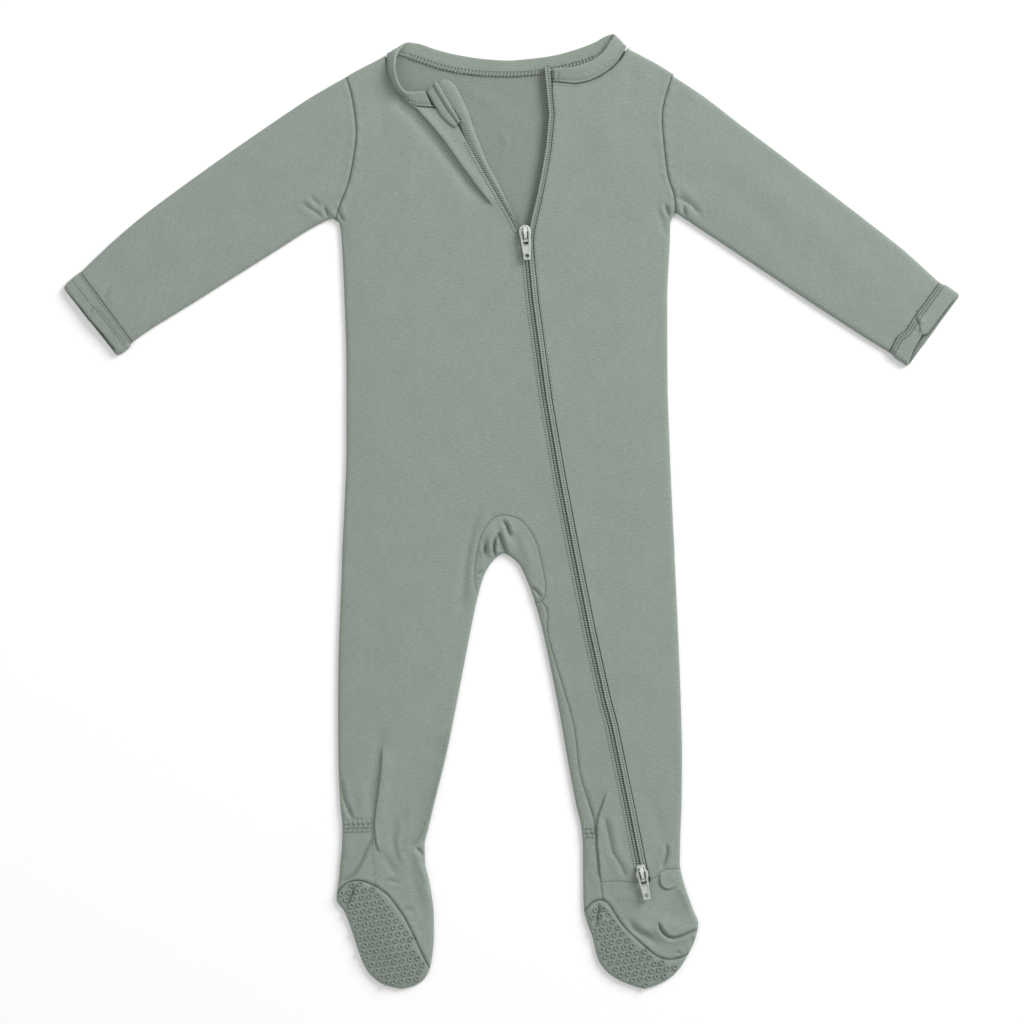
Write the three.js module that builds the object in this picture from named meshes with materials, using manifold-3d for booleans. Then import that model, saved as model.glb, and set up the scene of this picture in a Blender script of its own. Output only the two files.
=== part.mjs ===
import * as THREE from 'three';
import Module from 'manifold-3d';

// A footed baby sleepsuit, size 3 to 6 months, lying flat on its back with its zip open at the neck.
// Millimetres. X runs across the garment, Y up to the neck and Z up from the surface that it lies on.
// Left and right are as seen from above.

// Cloth
const CLOTH = 1.2;              // one layer of jersey
const CUFF_CLOTH = 1.6;         // turned-back cuff, two layers and their fold
const BAND_CLOTH = 2;           // doubled neckband
const SEAM_GAP = 0.3;           // space between two pieces at a seam
const EDGE_HEIGHT = 1.8;        // height of the outermost line of a folded side
const EDGE_RADIUS = 2.8;        // width over which a folded side turns up
const PILE_LOW = 3.7;           // height of the upper layer just inside a folded side
const PILE_RISE = 1.5;          // how much higher it lies far from every side
const PILE_REACH = 20;          // distance over which it rises
const ROW_STEP = 11;
const SIMPLIFY = 0.03;
const CUFF_LIFT = 0.9;          // a cuff's upper layer over the sleeve's
const GUARD_THICKNESS = 1;
const STRIP_STEP = 20;
const BODY_COLUMNS = 8;         // spaces across half of the body
const TUBE_COLUMNS = 7;         // and across a sleeve
const GARAGE_COLUMNS = 5;
const NEAR_EDGE = 0.22;         // first point inside a folded side, as a share of its turn
const FOLD_FADE = 12;           // distance from a folded side over which the large folds fade out
const BAND_RIM = 0.3;           // rounding of the neckband's free edge, as a share of its thickness

// Zip
const TAPE_THICKNESS = 1;
const TAPE_DROP = 0.6;          // top of the tape below the cloth beside it
const COIL_WIDTH = 1.55;
const COIL_HEIGHT = 1.4;
const FACE_LEFT = 2.3;          // from the middle of the zip to the cloth on the left
const FACE_RIGHT = 4.2;         // and on the right
const ZIP_RISE = 0.4;
const ZIP_REACH = 9;
const GARAGE_REACH = 3;         // the tab's rise over the coil fades out over this distance

// Sliders and pulls
const PLATE_WIDTH = 8.2;
const PLATE_TOP = 3.7;          // from the pull's axis to the end of the slider
const PLATE_BOTTOM = -7.2;
const PLATE_TAIL = 0.76;        // narrow end, as a share of the width
const PLATE_CORNER = 0.28;      // rounding of the wide end, as a share of the width
const UPPER_PLATE = 1;          // thickness of the plate over the coil
const LOWER_PLATE = 0.8;        // and under the tape
const CROWN_WIDTH = 2.2;
const CROWN_BAR = 0.9;
const CROWN_NEAR = 1.5;         // inner faces of its two feet, from the axis
const CROWN_FAR = -4.7;
const CROWN_SINK = 0.2;         // its feet reach this far into the plate
const POST_HALF = 0.6;
const POST_INSET = 1;           // from the end of the slider to the middle of its post
const PULL_LENGTH = 19;
const PULL_THICKNESS = 1.2;
const PULL_BAR = 1;             // round the axis
const PULL_EYE = 3.3;           // half widths at the eye and at the tip
const PULL_TIP = 2.3;
const PULL_SHOULDER = -8;       // where it starts and ends to taper
const PULL_NECK = -14;
const PULL_CORNER = 1;
const WINDOW_HALF = 1.95;
const WINDOW_END = -9.2;
const PULL_HOLE = 1.2;          // radius
const PULL_HOLE_INSET = 2.6;
const AXIS_LIFT = PULL_THICKNESS / 2 + SEAM_GAP;
const CROWN_ROOM = 1;           // from the axis to the underside of the crown
const UPPER_AXIS = [9.0, 182.1];
const UPPER_TURN = 0.085;
const LOWER_AXIS = [84.6, -233.0];
const LOWER_TURN = 0.2;

// Colours
const SAGE = 0x93a095;
const SAGE_INSIDE = 0x8a958b;
const TAPE_COLOUR = 0x7f8987;
const ENAMEL = 0xcfd3cb;

// Body and legs, a row for each section from the shoulders to the toes:
// y, outer side of the left leg, its inner side, inner side of the right leg, its outer side
const BODY = [
  [307.8, -62.4, null, null, 61.8],
  [295.4, -83.9, null, null, 87.3],
  [283.1, -106.8, null, null, 107.4],
  [270.1, -123.5, null, null, 120.9],
  [199.2, -123.5, null, null, 118.2],
  [194.0, -121.5, null, null, 106.3],
  [188.2, -111.9, null, null, 103.7],
  [176.5, -110.3, null, null, 103.4],
  [137.5, -108.4, null, null, 101.7],
  [90.7, -107.1, null, null, 101.8],
  [43.9, -107.1, null, null, 103.2],
  [-2.9, -108.7, null, null, 105.2],
  [-26.7, -109.9, -5.2, -5.2, 106.4],
  [-30.2, -110.0, -9.9, 0.7, 106.5],
  [-34.1, -110.1, -13.3, 4.9, 106.7],
  [-41.9, -110.3, -17.6, 9.1, 107.0],
  [-57.5, -110.9, -22.1, 15.0, 107.8],
  [-73.1, -111.6, -25.4, 19.5, 108.5],
  [-96.5, -112.3, -29.9, 24.7, 109.5],
  [-127.7, -112.6, -35.9, 30.9, 110.6],
  [-158.9, -112.4, -42.2, 36.4, 111.3],
  [-190.1, -111.2, -49.9, 42.2, 111.0],
  [-205.7, -109.8, -53.6, 45.7, 110.4],
  [-217.4, -110.1, -56.2, 46.7, 110.0],
  [-229.1, -111.2, -55.8, 46.8, 109.9],
  [-239.5, -112.1, -53.4, 46.9, 111.9],
  [-252.5, -113.6, -51.2, 47.1, 116.1],
  [-260.3, -108.5, -50.3, 47.7, 119.0],
  [-268.1, -105.3, -50.1, 49.7, 121.9],
  [-275.9, -102.7, -50.1, 52.6, 120.6],
  [-291.5, -97.3, -51.5, 56.7, 113.5],
  [-299.3, -93.3, -53.5, 62.1, 108.2],
  [-304.5, -88.4, -56.7, 69.4, 102.0],
  [-308.4, -81.7, -62.6, 78.3, 94.0],
  [-310.7, -71.6, -71.6, 86.5, 86.5],
];
const CROTCH_X = -5.2;
const CROTCH_Y = -26.7;
const UNDERARM_Y = 188.2;

// Sleeves, a row for each section from inside the armhole to the cuff: upper edge x, y, lower edge x, y
const SLEEVE_LEFT = [
  [-92.0, 290.5, -103.0, 197.0],
  [-107.2, 282.8, -117.0, 191.0],
  [-129.3, 270.1, -130.0, 184.3],
  [-152.8, 254.5, -148.5, 172.6],
  [-175.5, 238.9, -167.0, 160.9],
  [-197.6, 223.3, -185.5, 149.3],
  [-219.1, 207.7, -204.1, 137.5],
  [-239.8, 192.1, -220.5, 127.4],
  [-260.5, 174.4, -234.5, 118.7],
  [-279.8, 156.0, -246.0, 110.5],
];
const SLEEVE_RIGHT = [
  [90.0, 293.0, 97.0, 197.0],
  [104.9, 283.7, 106.6, 194.7],
  [125.5, 270.1, 122.2, 184.3],
  [148.5, 252.3, 142.0, 171.2],
  [170.0, 236.2, 162.0, 157.9],
  [192.0, 219.4, 181.0, 145.2],
  [213.0, 203.3, 199.0, 133.3],
  [234.0, 187.1, 215.5, 122.6],
  [256.5, 169.3, 231.0, 112.6],
  [278.5, 149.2, 245.7, 103.7],
];
// Cuffs, from the turned hem to the open end, in the same columns
const CUFF_LEFT = [
  [-280.4, 155.7, -246.4, 109.9],
  [-286.2, 150.6, -251.8, 105.3],
  [-291.9, 145.4, -257.4, 101.7],
];
const CUFF_RIGHT = [
  [279.1, 148.9, 246.2, 103.3],
  [285.3, 144.4, 252.4, 98.9],
  [291.9, 139.9, 258.9, 94.6],
];
// How far the upper layer of a cuff stops short of the lower one: at its upper and at its lower corner
const CUFF_SHORT_LEFT = [3.2, 2.6];
const CUFF_SHORT_RIGHT = [2.0, 5.2];

// Seams drawn on the laid garment
const ARMHOLE_LEFT = [
  [-112, 292], [-107.3, 282.6], [-103.0, 267.1], [-100.6, 247.3], [-102.6, 228.5], [-106.0, 212.9],
  [-110.9, 199.9], [-113.8, 190.4], [-114, 184],
];
const ARMHOLE_RIGHT = [
  [109, 293], [104.9, 283.7], [100.1, 268.3], [98.2, 255.8], [99.6, 236.6], [102.2, 217.4],
  [106.0, 205.7], [107.0, 194.8], [107.5, 186],
];
const NECK_FRONT_LEFT = [
  [-81.9, 296.4], [-80.9, 287.0], [-77.9, 278.0], [-73.7, 271.4], [-67.9, 266.4], [-61.3, 262.3], [-54.0, 261.6],
  [-43.6, 260.2],
];
const NECK_FRONT_RIGHT = [
  [27.3, 278.9], [42.6, 277.6], [49.2, 278.9], [57.5, 282.2], [65.8, 287.9], [71.6, 293.8], [76.0, 301.9],
];
const NECK_BACK = [
  [-84.5, 296.0], [-73.5, 296.0], [-64.6, 294.2], [-47.2, 288.2], [-34.7, 285.3], [-18.2, 283.4], [-1.6, 282.9],
  [9.4, 283.4], [19.5, 284.5], [37.7, 288.0], [45.9, 290.2], [56.0, 293.8], [66.0, 297.2], [76.0, 300.4], [80, 301.5],
];
const GUSSET_SEAM = [
  [-19.6, -60.5], [-23.7, -43.2], [-21.1, -21.8], [-15.6, -8.8], [-7.2, -2.6], [5.9, -5.5], [15.6, -18.5],
  [20.8, -38.0], [22.4, -51.0], [19.5, -58.8], [11.0, -59.6],
];
const INSEAM_RIGHT = [
  [19.8, -58.2], [23.9, -66.6], [24.7, -83.5], [40.2, -136.6], [44.9, -170.6], [54.2, -201.8], [56.1, -220.7],
  [58.1, -239.5], [59.9, -255.0],
];
const HEEL_LEFT = [
  [-116.0, -169.0], [-110.9, -170.6], [-102.3, -200.5], [-91.0, -199.0], [-90.4, -210.3], [-89.7, -226.5],
  [-87.8, -245.5],
];
const SOLE_LEFT = [
  [-117.0, -252.0], [-112.5, -247.6], [-107.9, -242.1], [-102.4, -240.1], [-96.9, -240.2], [-88.4, -243.4],
  [-80.0, -249.3], [-73.5, -257.7], [-67.6, -266.8], [-60.5, -281.8], [-55.9, -291.5], [-50.0, -302.0],
];
const SOLE_RIGHT = [
  [43.5, -264.5], [48.0, -259.7], [52.6, -254.3], [58.1, -252.5], [62.8, -254.3], [67.5, -261.4], [72.9, -269.2],
  [82.3, -278.5], [93.2, -287.9], [99.5, -290.7], [105.7, -291.0], [111.9, -289.1], [121.0, -284.0],
];
const VAMP_SEAM = [
  [57.0, -241.4], [68.2, -240.2], [79.2, -240.8], [91.7, -238.7], [96.2, -236.3], [99.5, -233.0], [115.0, -232.0],
];
// Where the folded sides have a seam between the upper and the lower layer: x from, x to, y from, y to
const SIDE_SEAMS = [
  [-140, 140, -59.2, 320],
  [-140, -95, -170.7, -58],
  [-75, -15, -298.5, -58],
  [95, 140, -288.1, -58],
];

// Inner edge of each half of the zip, from its top end, along its open part and then the closed part
const ZIP_CLOSED = [
  [10.4, 172.6], [13.7, 138.1], [23.4, 72.5], [32.5, 23.1], [41.6, -26.3], [50.7, -75.7], [61.1, -122.5],
  [65.7, -139.4], [77.4, -196.0], [84.3, -230.4],
];
const ZIP_LEFT_OPEN = [
  [-47.6, 277.9], [-39.2, 264.2], [-33.5, 258.1], [-26.6, 241.0], [-17.3, 224.1], [-6.6, 205.7], [1.2, 192.2],
  [5.2, 184.3], [9.3, 178.4],
];
const ZIP_RIGHT_OPEN = [
  [21.1, 288.8], [22.7, 273.5], [24.2, 258.1], [22.2, 236.7], [19.6, 221.3], [16.6, 206.0], [13.3, 192.2],
  [11.7, 184.3], [10.5, 178.4],
];
const ZIP_END = [86.0, -238.4];
const ZIP_SLIT_END = [86.7, -241.6];
const ZIP_END_SPREAD = 1.3;     // how far the halves part under the lower slider
const ZIP_SPREAD_LENGTH = 8;

const NECK_CORNER = [-38.4, 257.6];   // where the left neckline reaches the zip
const NECK_RIGHT_TOP = 276;     // the right side of the opening is cut along the zip up to here

// Guard strip behind the left half of the zip: right edge x, y, left edge x, y
const GUARD = [
  [-44.6, 281.4, -50.0, 276.0],
  [-40.6, 280.9, -49.0, 272.0],
  [-35.6, 276.4, -47.0, 268.0],
  [-32.2, 269.8, -43.0, 262.0],
  [-28.1, 261.4, -40.0, 254.0],
  [-24.8, 251.5, -36.0, 246.0],
  [-19.8, 238.2, -31.0, 234.0],
  [-14.0, 224.1, -24.5, 220.5],
  [-9.1, 215.5, -19.0, 210.0],
  [-1.1, 198.3, -8.0, 196.0],
  [3.0, 190.0, -3.5, 187.0],
];
// Tab folded over the top end of the left half of the zip, in the same columns
const GARAGE = [
  [-48.3, 279.2, -54.6, 272.5],
  [-44.7, 273.3, -50.1, 264.4],
  [-42.2, 269.0, -47.7, 260.6],
  [-39.7, 264.7, -45.5, 257.3],
  [-37.2, 260.5, -42.7, 254.2],
  [-34.8, 256.4, -39.7, 251.5],
  [-33.2, 252.8, -36.5, 249.2],
];
// Neckband, a row for each section from the left end round the back to the right end:
// seam edge x, y, z, free edge x, y, z, each at the middle of the band's thickness
const NECKBAND = [
  [-51.0, 262.6, 4.2, -56.2, 273.2, 6.2],
  [-61.7, 263.5, 4.2, -62.0, 272.6, 6.6],
  [-66.5, 266.6, 4.2, -67.6, 272.4, 8.0],
  [-71.7, 271.4, 4.2, -71.6, 275.0, 10.4],
  [-76.3, 278.2, 4.2, -74.2, 280.6, 11.6],
  [-79.4, 287.1, 4.1, -75.4, 288.0, 11.6],
  [-80.1, 293.4, 4.0, -74.4, 295.4, 9.4],
  [-79.9, 297.4, 2.9, -71.2, 301.4, 5.6],
  [-75.2, 297.1, 1.5, -66.4, 305.2, 2.4],
  [-66.0, 294.9, 1.1, -60.6, 304.6, 1.2],
  [-55.6, 291.5, 1.1, -50.4, 301.2, 1.1],
  [-46.8, 288.5, 1.1, -42.6, 299.0, 1.1],
  [-34.5, 285.7, 1.1, -32.6, 296.8, 1.1],
  [-18.2, 283.8, 1.1, -18.0, 294.6, 1.1],
  [-1.6, 283.3, 1.1, -1.6, 293.6, 1.1],
  [9.4, 283.8, 1.1, 9.4, 294.4, 1.1],
  [19.1, 284.9, 1.1, 17.5, 295.3, 1.1],
  [29.8, 286.9, 1.1, 26.5, 296.6, 1.1],
  [45.6, 290.5, 1.1, 40.6, 300.2, 1.1],
  [58.7, 295.1, 1.1, 54.0, 305.2, 1.1],
  [70.6, 299.8, 1.1, 62.0, 309.6, 1.1],
  [74.2, 302.2, 2.0, 65.6, 310.5, 2.2],
  [74.4, 301.2, 3.9, 66.6, 309.2, 4.4],
  [72.0, 296.8, 4.5, 63.4, 304.0, 5.4],
  [69.8, 293.0, 4.6, 60.0, 298.7, 5.9],
  [64.1, 287.3, 4.6, 54.2, 293.8, 6.3],
  [56.3, 282.2, 4.6, 47.6, 290.6, 6.4],
  [48.5, 279.2, 4.6, 40.4, 288.6, 6.3],
  [41.8, 278.1, 4.5, 34.6, 288.1, 6.2],
  [34.1, 278.8, 4.5, 30.4, 287.9, 6.0],
  [28.1, 279.3, 4.4, 28.0, 287.9, 5.8],
];

// Large folds and hollows of the upper layer: height, half width, and the line that each follows
const FOLDS = [
  { height: -0.9, width: 5, line: [[-68.2, 266.2], [-48.1, 248.2], [-28.1, 224.1], [-11.8, 201.4]] },
  { height: 0.5, width: 6, line: [[-42.0, 246.0], [-27.0, 232.0], [-12.0, 208.0], [0.0, 190.0]] },
  { height: -0.7, width: 6, line: [[-19.5, -1.0], [-26.3, -17.2], [-31.2, -48.4], [-32.5, -64.0]] },
  { height: -0.8, width: 5, line: [[-85.9, -155.0], [-89.0, -198.9], [-86.7, -217.4]] },
  { height: 0.8, width: 5, line: [[-101.0, -183.0], [-99.0, -213.0]] },
  { height: -0.8, width: 5, line: [[-91.0, -215.0], [-99.2, -228.5], [-108.5, -240.2]] },
  { height: -0.9, width: 5, line: [[59.7, -191.1], [55.8, -203.6], [57.0, -239.5]] },
  { height: 0.9, width: 6, line: [[-75.0, -218.0], [-62.0, -250.0]] },
  { height: 0.9, width: 7, line: [[70.0, -196.0], [76.0, -226.0]] },
  { height: 1.0, width: 13, line: [[-82.0, -262.0], [-72.0, -292.0]] },
  { height: 1.0, width: 13, line: [[86.0, -256.0], [94.0, -276.0]] },
  { height: 0.8, width: 5, line: [[-110.0, 206.0], [-126.0, 200.0]] },
  { height: 0.8, width: 5, line: [[107.0, 210.0], [121.0, 203.0]] },
  { height: -0.7, width: 5, line: [[98.0, 193.0], [103.0, 172.0]] },
];

const wasm = await Module();
wasm.setup();

// A smooth curve through [position, value] pairs that never passes beyond their values
function smoothThrough(pairs) {
  const knots = [...pairs].sort((a, b) => a[0] - b[0]);
  const slopes = knots.slice(1).map((knot, i) => (knot[1] - knots[i][1]) / (knot[0] - knots[i][0]));
  const tangents = knots.map((_, i) => {
    const before = slopes[i - 1] ?? slopes[i];
    const after = slopes[i] ?? slopes[i - 1];
    return before * after <= 0 ? 0 : 2 * before * after / (before + after);
  });
  return position => {
    const last = knots.length - 2;
    const i = Math.max(0, Math.min(last, knots.findIndex(knot => knot[0] > position) - 1));
    const k = position >= knots.at(-1)[0] ? last : i;
    const span = knots[k + 1][0] - knots[k][0];
    const t = (position - knots[k][0]) / span;
    const bend = t * t * (3 - 2 * t);
    return knots[k][1] * (1 - bend) + knots[k + 1][1] * bend
      + span * (tangents[k] * t * (1 - t) ** 2 - tangents[k + 1] * t * t * (1 - t));
  };
}

const side = column => smoothThrough(
  BODY.filter(row => row[column] !== null).map(row => [row[0], row[column]]),
);
const leftOuter = side(1);
const leftInner = side(2);
const rightInner = side(3);
const rightOuter = side(4);

// Positions from a to b with a step no longer than the one given, without the last
function stepsBetween(a, b, step) {
  const count = Math.ceil(Math.abs(b - a) / step);
  return Array.from({ length: count }, (_, i) => a + (b - a) * i / count);
}

const BODY_ROWS = BODY.slice(1).flatMap((row, i) => stepsBetween(BODY[i][0], row[0], ROW_STEP));
BODY_ROWS.push(BODY.at(-1)[0]);

const edgePoints = (rows, column) => rows.map(row => [row[column], row[column + 1]]);
const outlineOf = (curve, from, to) => BODY_ROWS.filter(y => y <= from && y >= to).map(y => [curve(y), y]);
const TOE_Y = BODY.at(-1)[0];

// The garment's outline where its cloth turns under, as open lines: neck and cuff ends are left out
const SILHOUETTE = [
  [...outlineOf(leftOuter, 296, 284), ...edgePoints([...SLEEVE_LEFT.slice(1), ...CUFF_LEFT], 0)],
  [
    ...edgePoints([...SLEEVE_LEFT.slice(1), ...CUFF_LEFT], 2).reverse(),
    ...outlineOf(leftOuter, UNDERARM_Y, TOE_Y),
    ...outlineOf(leftInner, CROTCH_Y, TOE_Y).reverse(),
    ...outlineOf(rightInner, CROTCH_Y, TOE_Y),
    ...outlineOf(rightOuter, UNDERARM_Y, TOE_Y).reverse(),
    ...edgePoints([...SLEEVE_RIGHT.slice(1), ...CUFF_RIGHT], 2),
  ],
  [...outlineOf(rightOuter, 302, 284), ...edgePoints([...SLEEVE_RIGHT.slice(1), ...CUFF_RIGHT], 0)],
];
const ZIP_LINES = [[...ZIP_LEFT_OPEN, ...ZIP_CLOSED, ZIP_END], ZIP_RIGHT_OPEN];

function distanceToLine(x, y, line) {
  let nearest = Infinity;
  for (let i = 1; i < line.length; i += 1) {
    const [ax, ay] = line[i - 1];
    const dx = line[i][0] - ax;
    const dy = line[i][1] - ay;
    const along = ((x - ax) * dx + (y - ay) * dy) / Math.max(dx * dx + dy * dy, 1e-9);
    const t = Math.max(0, Math.min(1, along));
    nearest = Math.min(nearest, Math.hypot(x - ax - dx * t, y - ay - dy * t));
  }
  return nearest;
}
const distanceToLines = (x, y, lines) => Math.min(...lines.map(line => distanceToLine(x, y, line)));
const hump = (distance, width) => Math.exp(-((distance / width) ** 2));

// Height of the upper layer's outer face away from the folded sides
function pileHeight(x, y, fromSide) {
  const rise = PILE_RISE * (1 - Math.exp(-fromSide / PILE_REACH));
  const zip = ZIP_RISE * hump(distanceToLines(x, y, ZIP_LINES), ZIP_REACH);
  const folds = FOLDS.map(fold => fold.height * hump(distanceToLine(x, y, fold.line), fold.width))
    .reduce((sum, height) => sum + height, 0);
  return PILE_LOW + rise + zip + folds * Math.min(1, fromSide / FOLD_FADE);
}

// Outer faces of the two layers, or the faces that lie a given depth inside them
function faces(depth, lift = 0) {
  const turn = (x, y) => {
    const u = (distanceToLines(x, y, SILHOUETTE) - depth) / (EDGE_RADIUS - depth);
    return u <= 0.002 ? 0 : Math.sqrt(1 - (1 - Math.min(u, 1)) ** 2);
  };
  return {
    top: (x, y) => {
      const height = pileHeight(x, y, distanceToLines(x, y, SILHOUETTE)) + lift;
      return EDGE_HEIGHT + (height - depth - EDGE_HEIGHT) * turn(x, y);
    },
    bottom: (x, y) => EDGE_HEIGHT - (EDGE_HEIGHT - depth) * turn(x, y),
  };
}

// Moves a point from one edge of a section towards the other until it is as deep as asked
function inward(from, to, depth) {
  if (depth === 0) return from;
  const length = Math.hypot(to[0] - from[0], to[1] - from[1]);
  const at = s => [from[0] + (to[0] - from[0]) * s / length, from[1] + (to[1] - from[1]) * s / length];
  let s = 0;
  while (s < length) {
    const missing = depth - distanceToLines(...at(s), SILHOUETTE);
    if (missing <= 0.001) return at(s);
    s += Math.max(missing, 0.02);
  }
  return null;
}

// Points of one section, close together at its two folded sides and evenly spaced between them
function sectionPoints(from, to, depth) {
  const start = inward(from, to, depth);
  const end = inward(to, from, depth);
  if (!start || !end) return null;
  const length = Math.hypot(end[0] - start[0], end[1] - start[1]);
  if ((end[0] - start[0]) * (to[0] - from[0]) + (end[1] - start[1]) * (to[1] - from[1]) < 0) return null;
  const turn = Math.min(EDGE_RADIUS - depth, length / 3);
  return { start, end, length, turn };
}

function sectionGrid(sections, depth, columns) {
  return sections.map(([from, to]) => sectionPoints(from, to, depth)).filter(Boolean)
    .map(({ start, end, length, turn }) => {
      const inner = Array.from({ length: columns + 1 }, (_, i) => turn + (length - 2 * turn) * i / columns);
      return [0, turn * NEAR_EDGE, ...inner, length - turn * NEAR_EDGE, length].map(s => {
        const t = length < 1e-6 ? 0 : s / length;
        return [start[0] + (end[0] - start[0]) * t, start[1] + (end[1] - start[1]) * t];
      });
    });
}

const keyOf = values => values.map(value => Math.round(value * 1e4)).join();

function solidFromTriangles(triangles) {
  const index = new Map();
  const vertices = [];
  const faceList = [];
  const vertexOf = point => {
    const key = keyOf(point);
    if (!index.has(key)) {
      index.set(key, vertices.length / 3);
      vertices.push(...point);
    }
    return index.get(key);
  };
  for (const triangle of triangles) {
    const [a, b, c] = triangle.map(vertexOf);
    if (a !== b && b !== c && c !== a) faceList.push(a, b, c);
  }
  return new wasm.Manifold(new wasm.Mesh({
    numProp: 3, vertProperties: new Float32Array(vertices), triVerts: new Uint32Array(faceList),
  }));
}

// Solid between an upper and a lower surface over grids of plan points, with walls round their free edges
function solidBetween(grids, { top, bottom }) {
  const plan = [];
  for (const rows of grids) {
    for (let i = 1; i < rows.length; i += 1) {
      for (let j = 1; j < rows[i].length; j += 1) {
        const [a, b, c, d] = [rows[i - 1][j - 1], rows[i - 1][j], rows[i][j], rows[i][j - 1]];
        plan.push([a, b, c], [a, c, d]);
      }
    }
  }
  const area = ([a, b, c]) => (b[0] - a[0]) * (c[1] - a[1]) - (b[1] - a[1]) * (c[0] - a[0]);
  const kept = plan.filter(triangle => new Set(triangle.map(keyOf)).size === 3)
    .map(triangle => (area(triangle) < 0 ? [triangle[0], triangle[2], triangle[1]] : triangle));
  const edges = new Map();
  for (const triangle of kept) {
    triangle.forEach((from, i) => {
      const to = triangle[(i + 1) % 3];
      const reverse = `${keyOf(to)}/${keyOf(from)}`;
      if (!edges.delete(reverse)) edges.set(`${keyOf(from)}/${keyOf(to)}`, [from, to]);
    });
  }
  const up = point => [...point, top(...point)];
  const down = point => [...point, bottom(...point)];
  const triangles = kept.flatMap(([a, b, c]) => [[up(a), up(b), up(c)], [down(a), down(c), down(b)]]);
  for (const [from, to] of edges.values()) {
    triangles.push([up(to), up(from), down(from)], [up(to), down(from), down(to)]);
  }
  return solidFromTriangles(triangles);
}

// Plan of the body and legs at a depth inside the cloth: a left and a right half that share a middle line
function bodyGrids(depth) {
  const rows = [...BODY_ROWS, CROTCH_Y + depth].sort((a, b) => b - a);
  const leftEnd = y => (y < CROTCH_Y ? leftInner(y) : CROTCH_X);
  const rightStart = y => (y < CROTCH_Y ? rightInner(y) : CROTCH_X);
  const unique = rows.filter((y, i) => i === 0 || rows[i - 1] - y > 1e-6);
  return [
    sectionGrid(unique.map(y => [[leftOuter(y), y], [leftEnd(y), y]]), depth, BODY_COLUMNS),
    sectionGrid(unique.map(y => [[rightStart(y), y], [rightOuter(y), y]]), depth, BODY_COLUMNS),
  ];
}

function geometryToSolid(geometry) {
  const source = geometry.index ? geometry.toNonIndexed() : geometry;
  const position = source.getAttribute('position');
  const point = i => [position.getX(i), position.getY(i), position.getZ(i)];
  const triangles = Array.from({ length: position.count / 3 }, (_, i) => [0, 1, 2].map(k => point(3 * i + k)));
  return solidFromTriangles(triangles);
}

function prism(outline, zFrom, zTo) {
  const shape = new THREE.Shape(outline.map(([x, y]) => new THREE.Vector2(x, y)));
  const geometry = new THREE.ExtrudeGeometry(shape, { depth: zTo - zFrom, bevelEnabled: false });
  return geometryToSolid(geometry.translate(0, 0, zFrom));
}

// Line moved sideways in plan, to the right of its direction when the distance is positive
function offsetLine(line, distance) {
  return line.map(([x, y], i) => {
    const [px, py] = line[Math.max(0, i - 1)];
    const [nx, ny] = line[Math.min(line.length - 1, i + 1)];
    const length = Math.hypot(nx - px, ny - py);
    return [x + (ny - py) / length * distance, y - (nx - px) / length * distance];
  });
}

const seamCut = (line, zFrom, zTo) => prism(
  [...offsetLine(line, SEAM_GAP / 2), ...offsetLine(line, -SEAM_GAP / 2).reverse()], zFrom, zTo,
);

function box(xFrom, xTo, yFrom, yTo, zFrom, zTo) {
  return prism([[xFrom, yFrom], [xTo, yFrom], [xTo, yTo], [xFrom, yTo]], zFrom, zTo);
}

function solidToGeometry(solid) {
  const { numProp, vertProperties, triVerts } = solid.getMesh();
  const positions = new Float32Array(triVerts.length * 3);
  triVerts.forEach((vertex, i) => {
    positions.set(vertProperties.subarray(vertex * numProp, vertex * numProp + 3), i * 3);
  });
  const geometry = new THREE.BufferGeometry();
  geometry.setAttribute('position', new THREE.BufferAttribute(positions, 3));
  geometry.computeVertexNormals();
  return geometry;
}

const group = new THREE.Group();
function addMesh(name, geometry, color, roughness = 0.9, metalness = 0, parent = group) {
  const mesh = new THREE.Mesh(geometry, new THREE.MeshStandardMaterial({ color, roughness, metalness }));
  mesh.name = name;
  parent.add(mesh);
  return mesh;
}

const TUBE_PAST = 3;            // a sleeve's hollow runs this far past its ends
const CUFF_PAST = 30;           // and the cut at a cuff's open end by this
const ARMHOLE_MARGIN = 6;       // the cut at a sleeve's inner end reaches past the seam by this
const HIGH = 40;                // above everything
const LOW = -5;                 // below everything
const BEYOND = 330;             // past the neck in plan

// The plan of the opening in the upper layer: neck, open zip and the slit that the closed zip fills
function frontOpening() {
  const leftLine = offsetLine([...ZIP_LEFT_OPEN.slice(3), ...ZIP_CLOSED, ZIP_END, ZIP_SLIT_END], FACE_LEFT);
  const rightLine = offsetLine([...ZIP_RIGHT_OPEN, ...ZIP_CLOSED, ZIP_END, ZIP_SLIT_END], -FACE_RIGHT);
  return [
    ...NECK_FRONT_LEFT,
    NECK_CORNER,
    ...leftLine,
    ...rightLine.reverse().filter(([, y]) => y < NECK_RIGHT_TOP),
    ...NECK_FRONT_RIGHT,
    [NECK_FRONT_RIGHT.at(-1)[0], BEYOND], [NECK_FRONT_LEFT[0][0], BEYOND],
  ];
}

const backOpening = () => [...NECK_BACK, [NECK_BACK.at(-1)[0], BEYOND], [NECK_BACK[0][0], BEYOND]];

// Everything on the sleeve's side of an armhole seam
function outsideArmhole(armhole, direction) {
  const line = armhole.map(([x, y]) => [x - direction * SEAM_GAP / 2, y]);
  return prism([...line, [direction * BEYOND, line.at(-1)[1]], [direction * BEYOND, line[0][1]]], LOW, HIGH);
}

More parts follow.
